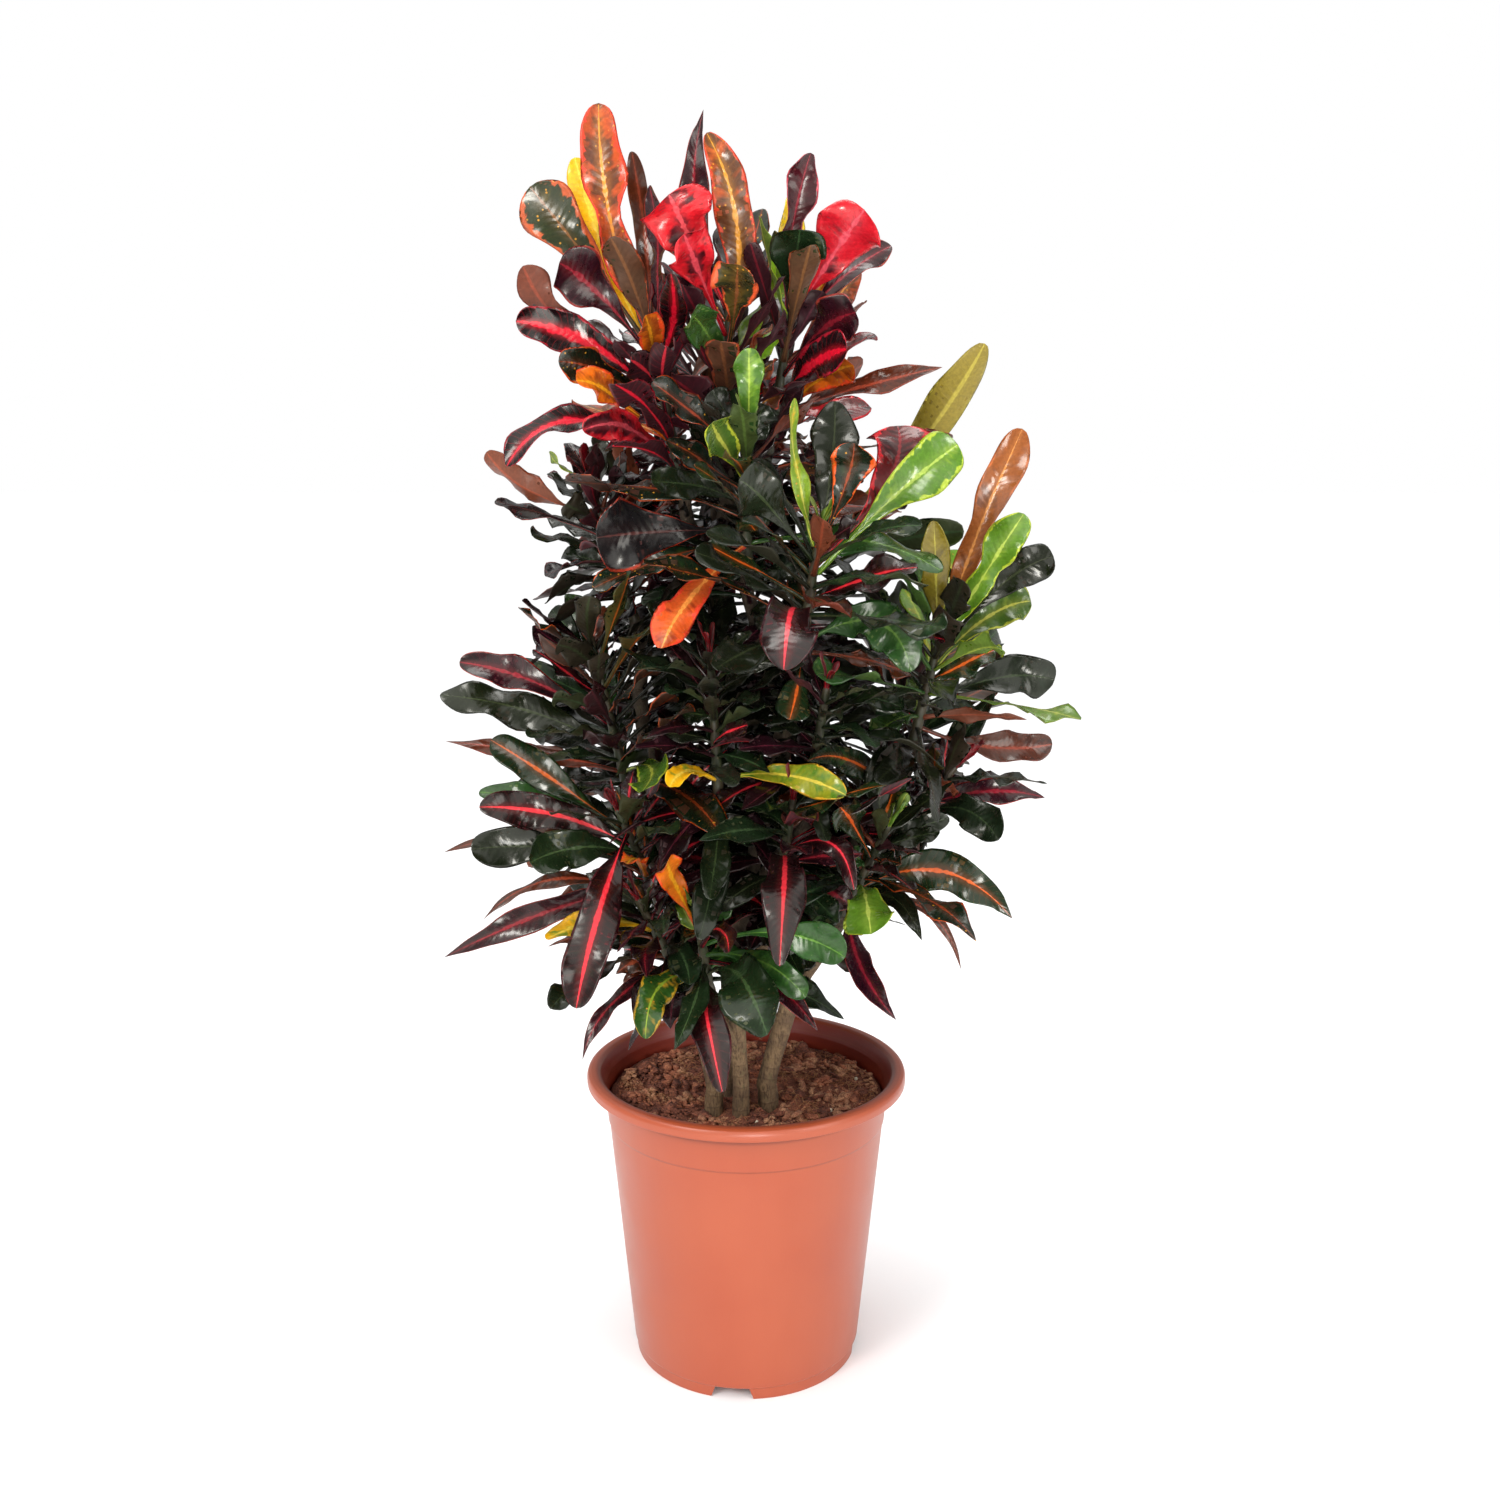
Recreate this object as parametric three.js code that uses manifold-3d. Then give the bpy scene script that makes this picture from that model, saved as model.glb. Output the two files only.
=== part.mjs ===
// A branched potted croton, about 0.9 m tall, in a round plastic nursery pot.
// Millimetres, +Z up. The origin is the middle of the pot's foot, on the table, and -Y is the front.
// Four woody stems stand in holes in the soil and fork into branches. Each branch ends in a leafy
// shoot: a short green core whose surface is a lattice of diamonds, with leaves raised from them.
import * as THREE from "three";
import { mergeVertices } from "three/addons/utils/BufferGeometryUtils.js";
import Module from "manifold-3d";

const manifold = await Module();
manifold.setup();
const { Manifold } = manifold;

const degree = Math.PI / 180;
const point = (x, y, z) => new THREE.Vector3(x, y, z);
const between = (low, high, share) => low + (high - low) * share;

// The nursery pot
const pot = {
  height: 224,
  rimRadius: 120,
  rimDrop: 9,
  neckRadius: 107.2,
  neckDrop: 10,
  baseRadius: 86.3,
  wall: 1.8,
  bandLine: 186,
  bandStep: 0.7,
  footHeight: 9,
  footRadius: 84.5,
  footWall: 3,
  floor: 2.5,
  sides: 32,
};
const notch = { count: 4, turn: -97, topWidth: 25, bottomWidth: 32, depth: 16 };
const drain = { count: 8, radius: 6, ring: 64, sides: 8 };

// The soil, which fills the pot to a little under its rim
const soil = { top: 203, gap: 0.3, play: 1, relief: 3, ripples: [0.11, 0.13], shoulder: 5, rings: 3, sides: 16 };

// Where the eye of the front view stands. Places read off that view are given as they appear in the
// plane through the pot's axis, and are then moved along the line of sight to their own depth.
const eye = point(0, -1097, 663);
function sighted(x, z, y) {
  const share = (y - eye.y) / -eye.y;
  return point(x * share, y, eye.z + (z - eye.z) * share);
}

// Leaf outlines. The half width grows as b^base and closes as (1 - b)^end, b being the share of the
// blade's length, and a waist narrows it half way.
const outlines = {
  spoon: { base: 2, end: 0.5, waist: 0 },
  paddle: { base: 1.2, end: 0.5, waist: 0 },
  strap: { base: 0.7, end: 0.5, waist: 0 },
  waisted: { base: 0.8, end: 0.45, waist: 0.5 },
  lance: { base: 0.8, end: 1, waist: 0 },
};
const waistWidth = 0.13;
const petiole = { share: 0.12, halfWidth: 1.6, halfThickness: 1.5 };
const blade = { halfThickness: 0.9, tipHalfThickness: 0.6, start: 0.3, fold: 0.08, wave: 0.13, lag: 0.2 };
const waves = [1.2, 2.6];
const stations = {
  large: [0, 0.25, 0.5, 0.74, 0.92],
  middle: [0, 0.3, 0.6, 0.86],
  small: [0, 0.38, 0.76],
};
const clearance = { thickness: 0.8, edge: 0.8, root: 0.12 };
const exact = { thickness: 0, edge: 0, root: 0 };

// How a known leaf looks for a diamond: how many it tries, how far its bend is shifted in y to find
// room, and the reach or twist from which it has the most sections
const search = { seed: 900, lean: [-0.4, 1.4], spots: 8, shifts: [0, -10, 10, -20], farReach: 95, strongTwist: 60 };

// How far the draws take a free leaf from its habit, how much smaller it gets with each try, and how
// much it loses towards the bud
const spread = { size: [0.75, 1.2], rise: 0.3, lift: 0.25, sway: 0.5, droop: [0.4, 1.4], face: 0.35, twist: 70 };
const growth = { tries: 7, shrink: 0.08, wide: 21, long: 80 };
const towardBud = { length: 0.4, width: 0.3, droop: 0.5 };

// How a shoot's leaves grow. Rise is their slope away from the core, from its lowest tier to its top.
const habits = {
  crown: {
    length: 116, width: 29, rise: [0, 1.5], droop: 0.25, fill: 0.32, outlines: ["spoon", "paddle", "waisted"],
  },
  bush: {
    length: 118, width: 29, rise: [-0.2, 1.1], droop: 0.55, fill: 0.34, outlines: ["paddle", "strap", "spoon"],
  },
  sparse: {
    length: 88, width: 25, rise: [-0.2, 1.1], droop: 0.55, fill: 0.34, outlines: ["paddle", "strap", "spoon"],
  },
  skirt: {
    length: 114, width: 25, rise: [-0.3, 0.9], droop: 0.75, fill: 0.4, outlines: ["lance", "lance", "strap"],
  },
  inner: { length: 104, width: 20, rise: [-0.4, 0.9], droop: 0.8, fill: 0.5, outlines: ["lance", "strap"] },
};

// The shoots: foot and bud as sighted x, z, y, then habit and colour
const shoots = [
  { name: "top_left", foot: [-45, 652, -14], bud: [-68, 768, -30], habit: "crown", colour: 0x6e1f22 },
  { name: "top_middle", foot: [-14, 668, -12], bud: [-12, 786, -25], habit: "crown", colour: 0x8a2620 },
  { name: "top_right", foot: [12, 658, 0], bud: [32, 778, -15], habit: "crown", colour: 0x5c1a22 },
  { name: "top_back", foot: [-22, 650, 36], bud: [-30, 762, 84], habit: "crown", colour: 0x4a1a1e },
  { name: "centre_high", foot: [0, 606, -54], bud: [0, 690, -80], habit: "bush", colour: 0x3f5a26 },
  { name: "middle_left", foot: [-80, 560, 4], bud: [-110, 655, -8], habit: "sparse", colour: 0x26201f },
  { name: "middle_left_back", foot: [-58, 560, 56], bud: [-82, 662, 108], habit: "sparse", colour: 0x2a2422 },
  { name: "middle_front", foot: [38, 528, -76], bud: [52, 622, -102], habit: "bush", colour: 0x2c3a22 },
  { name: "middle_back", foot: [38, 545, 56], bud: [58, 655, 108], habit: "bush", colour: 0x2b3524 },
  { name: "right", foot: [122, 474, -26], bud: [142, 560, -45], habit: "bush", colour: 0x4a5a24 },
  { name: "right_low", foot: [112, 404, -12], bud: [152, 452, -26], habit: "skirt", colour: 0x2a2a20 },
  { name: "right_bottom", foot: [72, 342, -52], bud: [104, 408, -80], habit: "skirt", colour: 0x26301f },
  { name: "right_back", foot: [88, 430, 58], bud: [122, 525, 108], habit: "bush", colour: 0x2c3322 },
  { name: "left", foot: [-84, 424, -16], bud: [-112, 548, -34], habit: "bush", colour: 0x2a3320 },
  { name: "left_low", foot: [-64, 350, -46], bud: [-94, 420, -72], habit: "skirt", colour: 0x231c1d },
  { name: "left_bottom", foot: [-48, 290, -56], bud: [-80, 352, -84], habit: "skirt", colour: 0x2a1c1f },
  { name: "left_back", foot: [-70, 390, 54], bud: [-100, 480, 104], habit: "bush", colour: 0x27241f },
  { name: "front_bottom", foot: [-28, 284, -78], bud: [-36, 340, -112], habit: "skirt", colour: 0x263020 },
  { name: "front_right", foot: [24, 358, -78], bud: [34, 428, -112], habit: "skirt", colour: 0x2a1d1f },
  { name: "front_middle", foot: [-18, 392, -68], bud: [-26, 535, -100], habit: "inner", colour: 0x1f261c },
  { name: "inner_right", foot: [46, 432, -78], bud: [58, 510, -104], habit: "inner", colour: 0x1f261c },
  { name: "back_low", foot: [12, 322, 50], bud: [24, 396, 110], habit: "skirt", colour: 0x242c1e },
  { name: "back_middle", foot: [-5, 435, 62], bud: [-6, 520, 116], habit: "bush", colour: 0x22291d },
];
const core = { footRadius: 4.8, budRadius: 3, gap: 0.3, cap: 4, tier: 9, around: 4 };

// The woody stems: where each stands in the soil, the points it passes above it, its thickness, the
// shoot at its end, and the branches that leave it, each at a share of the stem's course
const wood = { sides: 7, branchSides: 5, steps: 14, branchSteps: 3, lead: 24, deep: 90, colour: 0x6b5237 };
const branch = { taper: 0.85, widest: 5.6, bend: 0.4 };
const stems = [
  {
    name: "stem_left",
    stand: [-24, -38],
    points: [[-38, -36, 290], [-58, -26, 390], [-76, -8, 500]],
    radius: 7,
    shoot: "middle_left",
    branches: [["left_bottom", 0.33], ["left_low", 0.42], ["left_back", 0.45], ["left", 0.52]],
  },
  {
    name: "stem_front",
    stand: [-4, -46],
    points: [[-6, -55, 300], [6, -60, 400], [26, -68, 480]],
    radius: 6.5,
    shoot: "middle_front",
    branches: [["front_bottom", 0.32], ["front_middle", 0.45], ["inner_right", 0.5], ["centre_high", 0.66]],
  },
  {
    name: "stem_right",
    stand: [16, -30],
    points: [[34, -32, 290], [68, -26, 380], [102, -22, 440]],
    radius: 8,
    shoot: "right",
    branches: [["front_right", 0.38], ["right_bottom", 0.4], ["right_back", 0.46], ["right_low", 0.5]],
  },
  {
    name: "stem_back",
    stand: [-10, -8],
    points: [[-14, 4, 320], [-20, 8, 450], [-22, 4, 580]],
    radius: 7.5,
    shoot: "top_middle",
    branches: [
      ["back_low", 0.31],
      ["back_middle", 0.45],
      ["middle_left_back", 0.57],
      ["middle_back", 0.6],
      ["top_back", 0.7],
      ["top_left", 0.73],
      ["top_right", 0.76],
    ],
  },
];

// The leaves that stand out in the front view, read off it by eye: shoot, tip as sighted x, z, y, how
// far the midrib bows off its chord in x and z, width, outline, how far the face turns to the eye
// (below 0 it shows its back), and the blade's twist in degrees
const knownLeaves = [
  ["top_left", -100, 911, -45, -9, -2, 33, "waisted", 0.95, 20],
  ["top_left", -117, 876, 0, -4, 2, 24, "paddle", 0.8, 20],
  ["top_left", -148, 857, -42, -1, 4, 36, "spoon", 0.95, 0],
  ["top_left", -78, 880, -10, 2, 0, 16, "strap", 0.3, 50],
  ["top_left", -66, 858, -40, 3, 0, 16, "strap", 0.5, 40],
  ["top_left", -129, 807, -72, -2, 9, 36, "spoon", 0.95, 10],
  ["top_left", -154, 805, -35, -11, -7, 24, "spoon", -0.6, 20],
  ["top_left", -160, 768, -62, 0, 12, 28, "paddle", 0.85, 10],
  ["top_left", -131, 741, -85, -3, 8, 24, "paddle", 0.7, -30],
  ["top_left", -119, 728, -95, -6, 8, 22, "spoon", 0.7, 30],
  ["top_left", -169, 669, -40, -8, 26, 22, "paddle", 0.6, 30],
  ["top_left", -115, 694, -75, -2, 14, 22, "strap", 0.8, -20],
  ["top_middle", -29, 907, -30, -14, 0, 19, "lance", 0.7, 20],
  ["top_middle", -27, 892, -60, 13, 0, 25, "strap", 0.95, 15],
  ["top_middle", -53, 852, -70, -4, 6, 46, "spoon", 0.95, 0],
  ["top_middle", -43, 826, -92, -3, 6, 32, "spoon", 0.9, 20],
  ["top_middle", -6, 806, -100, 2, 4, 30, "spoon", 0.95, -20],
  ["top_left", -52, 800, -88, 6, 0, 18, "strap", 0.8, 20],
  ["top_left", -70, 772, -96, 0, 2, 18, "paddle", 0.8, 30],
  ["top_right", 9, 838, -40, -2, 0, 13, "strap", 0.4, 50],
  ["top_right", 44, 879, -25, -5, 4, 24, "waisted", 0.75, 30],
  ["top_right", 32, 852, 35, 0, 0, 18, "paddle", 0.6, 40],
  ["top_right", 81, 842, -70, 0, 2, 42, "spoon", 0.95, 10],
  ["top_right", 37, 829, -88, 0, 4, 36, "spoon", 0.95, -10],
  ["top_right", 100, 818, 0, 0, 8, 20, "paddle", 0.5, 20],
  ["top_right", 76, 774, -75, 0, 8, 34, "spoon", 0.9, 20],
  ["top_right", 70, 749, -98, 0, 8, 28, "paddle", 0.85, -30],
  ["top_right", 75, 738, -85, 0, 10, 24, "spoon", 0.8, 30],
  ["top_right", 137, 737, -30, 0, 3, 20, "lance", 0.5, 60],
  ["top_middle", -38, 772, -118, -2, 8, 24, "paddle", 0.9, 20],
  ["centre_high", 2, 750, -120, 0, 4, 18, "paddle", 0.9, 20],
  ["centre_high", -24, 699, -140, -3, 4, 25, "paddle", 0.9, 20],
  ["middle_left", -183, 679, 0, -5, -7, 24, "paddle", -0.5, 30],
  ["middle_left", -139, 679, -30, 0, 4, 12, "strap", 0.3, 40],
  ["centre_high", -107, 619, -125, -2, 2, 44, "spoon", 0.95, -10],
  ["centre_high", -67, 658, -135, 0, 5, 20, "paddle", 0.85, 20],
  ["middle_front", -5, 660, -140, -4, 8, 36, "spoon", 0.9, 20],
  ["middle_front", 34, 716, -110, -4, 0, 14, "strap", 0.5, 50],
  ["middle_front", 62, 714, -90, 3, 0, 28, "paddle", 0.8, 20],
  ["middle_front", 76, 685, -140, 4, 2, 26, "spoon", 0.9, -20],
  ["middle_front", 106, 697, -55, 18, 4, 40, "spoon", 0.95, 0],
  ["middle_front", 149, 684, -105, 4, 8, 36, "spoon", 0.95, 10],
  ["middle_back", 166, 753, 40, 11, -7, 30, "paddle", -0.7, 15],
  ["right", 194, 695, -45, -3, 0, 28, "waisted", 0.7, 50],
  ["right", 197, 636, -85, 2, 4, 28, "waisted", 0.85, 10],
  ["right", 219, 606, -40, 0, 12, 28, "spoon", 0.8, 20],
  ["right", 133, 631, -75, 0, 0, 20, "strap", 0.85, 15],
  ["centre_high", -61, 540, -145, -8, 0, 24, "paddle", 0.8, 30],
  ["middle_front", 27, 524, -180, -2, 24, 34, "paddle", 0.9, 10],
  ["middle_front", 119, 523, -135, 12, 22, 30, "strap", 0.85, 20],
  ["right", 204, 574, -20, 0, 10, 27, "paddle", 0.7, 20],
  ["right", 223, 517, -30, 4, 10, 30, "paddle", 0.8, 40],
  ["right", 204, 488, -50, 0, 3, 13, "lance", -0.5, 30],
  ["right", 223, 470, 0, 0, -8, 24, "paddle", 0.6, 60],
  ["left", -207, 530, -30, 0, 8, 24, "paddle", 0.8, 30],
  ["left", -222, 506, -15, 0, 8, 27, "strap", 0.8, 40],
  ["left", -219, 472, -10, 0, 3, 16, "lance", 0.5, 30],
  ["left_low", -186, 473, -90, -2, 4, 24, "paddle", 0.8, -20],
  ["left", -76, 435, -135, 12, 10, 27, "paddle", 0.9, 20],
  ["left_low", -196, 434, -50, 0, 11, 20, "paddle", 0.7, 20],
  ["left_low", -196, 423, -95, 0, 8, 25, "strap", 0.9, 15],
  ["left_low", -223, 389, -40, 0, 20, 15, "lance", 0.5, 30],
  ["left_low", -203, 391, -80, -2, 7, 28, "spoon", 0.85, -20],
  ["left_low", -160, 381, -130, -2, 8, 28, "paddle", 0.9, 20],
  ["left_low", -196, 337, -60, -12, 20, 11, "lance", 0.5, 30],
  ["left_low", -226, 308, -95, -2, 6, 20, "lance", 0.85, 20],
  ["left_bottom", -149, 322, -130, -4, 10, 20, "strap", 0.6, 50],
  ["left_low", -128, 268, -150, -2, 6, 30, "strap", 0.95, 10],
  ["left_bottom", -124, 227, -110, -8, 8, 12, "lance", 0.6, 20],
  ["front_bottom", -76, 244, -165, -10, 13, 22, "strap", 0.8, 20],
  ["front_bottom", -18, 201, -185, -6, 20, 24, "strap", 0.95, 10],
  ["front_bottom", 16, 247, -190, 2, 18, 37, "paddle", 0.9, 30],
  ["front_bottom", 54, 250, -160, 6, 9, 18, "lance", 0.8, 20],
  ["front_bottom", 45, 277, -150, 4, 8, 20, "paddle", 0.8, 20],
  ["front_right", 25, 301, -200, 2, 30, 26, "strap", 0.95, 10],
  ["front_bottom", 74, 308, -150, 4, 12, 26, "spoon", 0.9, 20],
  ["right_bottom", 113, 259, -130, -8, -2, 18, "lance", 0.8, 20],
  ["right_bottom", 93, 326, -140, 0, 12, 33, "spoon", 0.9, 10],
  ["right_bottom", 69, 423, -130, -2, 6, 24, "paddle", 0.85, -20],
  ["right_bottom", 198, 338, -90, 4, 22, 29, "lance", 0.9, 20],
  ["right_bottom", 131, 321, -115, 4, 14, 16, "lance", 0.7, 20],
  ["right_bottom", 161, 298, -70, 10, 22, 9, "lance", 0.5, 20],
  ["right_low", 219, 430, -20, 0, 8, 20, "lance", 0.7, 20],
  ["right_low", 186, 398, -75, 4, 14, 26, "paddle", 0.8, 20],
  ["front_middle", 73, 432, -150, 2, 8, 20, "paddle", 0.8, 20],
  ["front_middle", -56, 438, -135, -4, 8, 14, "strap", 0.6, 30],
  ["front_middle", 1, 484, -150, -2, 2, 13, "strap", 0.8, 20],
  ["right_low", 44, 457, -120, -4, 18, 18, "lance", 0.85, 30],
  ["front_bottom", -58, 382, -150, -4, 4, 20, "paddle", 0.8, 20],
  ["left_low", -88, 380, -140, 0, 8, 16, "strap", 0.7, 20],
  ["front_right", 80, 360, -150, 6, 20, 15, "strap", 0.9, 10],
  ["front_bottom", -13, 312, -170, 2, 14, 15, "strap", 0.9, 10],
];

// Draws between 0 and 1, the same on every run for the same keys
function stream(...keys) {
  let state = 20431;
  const turn = (key) => {
    state = (state * 1664525 + 1013904223 + key * 7919) % 4294967296;
  };
  keys.forEach((key) => [key, 1, 2].forEach(turn));
  return () => {
    turn(0);
    return state / 4294967296;
  };
}

// The two directions across an axis, and a point round it at an angle from the east one
function crossFrame(axis) {
  const north = axis.clone().cross(point(1, 0, 0)).normalize();
  return { north, east: north.clone().cross(axis) };
}
function around(centre, frame, radius, angle) {
  return centre
    .clone()
    .addScaledVector(frame.east, radius * Math.cos(angle))
    .addScaledVector(frame.north, radius * Math.sin(angle));
}

// Sets a shoot on its axis.
function setOut(shoot, number) {
  shoot.foot = sighted(...shoot.foot);
  const stretch = sighted(...shoot.bud).sub(shoot.foot);
  shoot.number = number;
  shoot.axis = stretch.clone().normalize();
  shoot.frame = crossFrame(shoot.axis);
  shoot.tiers = Math.round(stretch.length() / core.tier) - 1;
  shoot.start = shoot.foot.clone().addScaledVector(shoot.axis, core.gap);
  shoot.tierGap = (stretch.length() - core.gap) / (shoot.tiers + 1);
  shoot.leaves = new Map();
}

// Corner i of a tier of the core, whose odd tiers are turned by half a step
function corner(shoot, tier, i) {
  const radius = between(core.footRadius, core.budRadius, tier / (shoot.tiers + 1));
  const angle = ((i % core.around) + 0.5 * (tier % 2)) * ((2 * Math.PI) / core.around);
  return around(shoot.start.clone().addScaledVector(shoot.axis, tier * shoot.tierGap), shoot.frame, radius, angle);
}

// A diamond of the core: its right, top, left and bottom corners, its middle and the way it faces
function diamond(shoot, tier, place) {
  const beside = tier % 2 ? place + 1 : place;
  const right = corner(shoot, tier, place + 1);
  const left = corner(shoot, tier, place);
  const corners = [right, corner(shoot, tier + 1, beside), left, corner(shoot, tier - 1, beside)];
  const angle = (place + 0.5 + 0.5 * (tier % 2)) * ((2 * Math.PI) / core.around);
  const out = around(point(0, 0, 0), shoot.frame, 1, angle);
  return { tier, place, corners, middle: left.clone().lerp(right, 0.5), out };
}
function allSpots(shoot) {
  const spots = [];
  for (let tier = 1; tier <= shoot.tiers; tier++) {
    for (let place = 0; place < core.around; place++) spots.push(diamond(shoot, tier, place));
  }
  return spots;
}

// Where a leaf's midrib is at share s of its length, which way the blade lies and which way is up
function frameAt(leaf, s) {
  const first = leaf.root.clone().lerp(leaf.bend, s);
  const second = leaf.bend.clone().lerp(leaf.tip, s);
  const along = second.clone().sub(first).normalize();
  const turned = Math.min(1, s / blade.start);
  const side = leaf.rootSide.clone().lerp(leaf.side, turned);
  side.addScaledVector(along, -side.dot(along)).normalize();
  const across = side.applyAxisAngle(along, leaf.twist * degree * (s - 0.5) * turned);
  return { place: first.lerp(second, s), across, up: along.cross(across) };
}

// The blade's half width at share b of its length, where 1 is its greatest
function outlineAt(leaf, b) {
  const { base, end, waist } = outlines[leaf.outline];
  const widest = base / (base + end);
  const full = (b / widest) ** base * ((1 - b) / (1 - widest)) ** end;
  return full * (1 - waist * Math.exp(-(((b - 0.5) / waistWidth) ** 2)));
}

// Four points round the blade: one edge, the midrib's upper side, the other edge, its lower side
function leafSection(leaf, b, spare) {
  const frame = frameAt(leaf, between(petiole.share, 1, b));
  const share = outlineAt(leaf, b);
  const half = Math.max(petiole.halfWidth, (share * leaf.width) / 2) + spare.edge;
  const bladeHalf = between(blade.halfThickness, blade.tipHalfThickness, b);
  const thick = between(petiole.halfThickness, bladeHalf, Math.min(1, b / blade.start)) + spare.thickness;
  const edge = (way) => {
    const ripple = Math.sin(2 * Math.PI * (leaf.waves * b + leaf.phase + way * blade.lag));
    const lift = share * leaf.width * (blade.fold + blade.wave * ripple);
    return frame.place.clone().addScaledVector(frame.across, way * half).addScaledVector(frame.up, lift);
  };
  const rib = (way) => frame.place.clone().addScaledVector(frame.up, way * thick);
  return [edge(1), rib(1), edge(-1), rib(-1)];
}

// A leaf's sections, from the diamond that it grows from to the last one before its tip
function leafSections(leaf, spare) {
  const lifted = leaf.out.clone().multiplyScalar(2 * spare.root);
  const root = leaf.corners.map((at) => at.clone().lerp(leaf.root, spare.root).add(lifted));
  return [root, ...stations[leaf.size].map((b) => leafSection(leaf, b, spare))];
}

// The triangles over a leaf. The same diagonals run on both faces of its blade.
function leafFaces(leaf, spare) {
  const sections = leafSections(leaf, spare);
  return sections.flatMap((low, n) =>
    [0, 1, 2, 3].flatMap((j) => {
      const k = (j + 1) % 4;
      const high = sections[n + 1];
      if (!high) return [[low[j], low[k], leaf.tip]];
      if (j % 2) return [[low[j], low[k], high[j]], [low[k], high[k], high[j]]];
      return [[low[j], low[k], high[k]], [low[j], high[k], high[j]]];
    }),
  );
}

// A shape that others keep out of: its triangles, its edges as rays, and boxes round them
function obstacle(faces) {
  const sides = faces.flatMap(([a, b, c]) => [[a, b], [b, c], [c, a]]).filter(([a, b]) => a.x < b.x);
  const edges = sides.map(([a, b]) => ({
    ray: new THREE.Ray(a, b.clone().sub(a).normalize()),
    reach: a.distanceTo(b),
    box: new THREE.Box3().setFromPoints([a, b]),
  }));
  return { faces, edges, box: new THREE.Box3().setFromPoints(faces.flat()) };
}
const hit = new THREE.Vector3();
function pierces(shape, other) {
  return shape.edges.some(
    ({ ray, reach, box }) =>
      box.intersectsBox(other.box) &&
      other.faces.some(
        ([a, b, c]) => ray.intersectTriangle(a, b, c, false, hit) && ray.origin.distanceTo(hit) <= reach,
      ),
  );
}

// Leaves stay off the soil and out of the pot's wall and rim.
const room = { inside: 80, soilTop: soil.top + 9, rimTop: pot.height + 8 };
const isTooLow = (at) => at.z < (Math.hypot(at.x, at.y) < room.inside ? room.soilTop : room.rimTop);
const obstacles = [];
function findsRoom(shape) {
  if (shape.faces.flat().some(isTooLow)) return false;
  return !obstacles.some(
    (other) => other.box.intersectsBox(shape.box) && (pierces(shape, other) || pierces(other, shape)),
  );
}

// Turns a leaf's face, starts its first edge from the corner of its diamond that lies nearest, and
// keeps the leaf if it has room.
function seat(leaf, shoot, spot) {
  const away = leaf.tip.clone().sub(spot.middle).normalize();
  const level = point(-away.y, away.x, 0).add(shoot.axis.clone().cross(spot.out));
  const upward = away.clone().cross(level).normalize();
  const toEye = eye.clone().sub(spot.middle).normalize();
  const facing = upward.multiplyScalar(1 - Math.abs(leaf.face)).addScaledVector(toEye, leaf.face);
  leaf.side = facing.cross(away).normalize();
  leaf.root = spot.middle;
  leaf.out = spot.out;
  const ways = spot.corners.map((at) => at.clone().sub(spot.middle).normalize());
  const nearness = ways.map((way) => way.dot(leaf.side));
  const first = nearness.indexOf(Math.max(...nearness));
  leaf.rootSide = ways[first];
  leaf.corners = spot.corners.map((_, j) => spot.corners[(first + j) % 4]);
  const shape = obstacle(leafFaces(leaf, clearance));
  if (!findsRoom(shape)) return false;
  obstacles.push(shape);
  shoot.leaves.set(`${spot.tier}/${spot.place}`, leaf);
  return true;
}

// A known leaf grows from the free diamond that faces its tip best and leaves it room.
function growKnown(row, number) {
  const [name, x, z, y, bowX, bowZ, width, outline, face, twist] = row;
  const shoot = shoots.find((each) => each.name === name);
  const tip = sighted(x, z, y);
  const spots = allSpots(shoot).filter(({ tier, place }) => !shoot.leaves.has(`${tier}/${place}`));
  const fit = (spot) => {
    const leaving = spot.out.clone().addScaledVector(shoot.axis, between(...search.lean, spot.tier / shoot.tiers));
    return tip.clone().sub(spot.middle).normalize().dot(leaving.normalize());
  };
  spots.sort((a, b) => fit(b) - fit(a));
  const draw = stream(search.seed + number);
  const ripples = { waves: between(...waves, draw()), phase: draw() };
  spots.slice(0, search.spots).some((spot) =>
    search.shifts.some((shift) => {
      const bow = point(2 * bowX, shift, 2 * bowZ);
      const bend = spot.middle.clone().lerp(tip, 0.5).add(bow);
      const isLarge = spot.middle.distanceTo(tip) > search.farReach || twist > search.strongTwist;
      const size = isLarge ? "large" : "middle";
      return seat({ tip, bend, width, outline, face, twist, size, ...ripples }, shoot, spot);
    }),
  );
}

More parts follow.
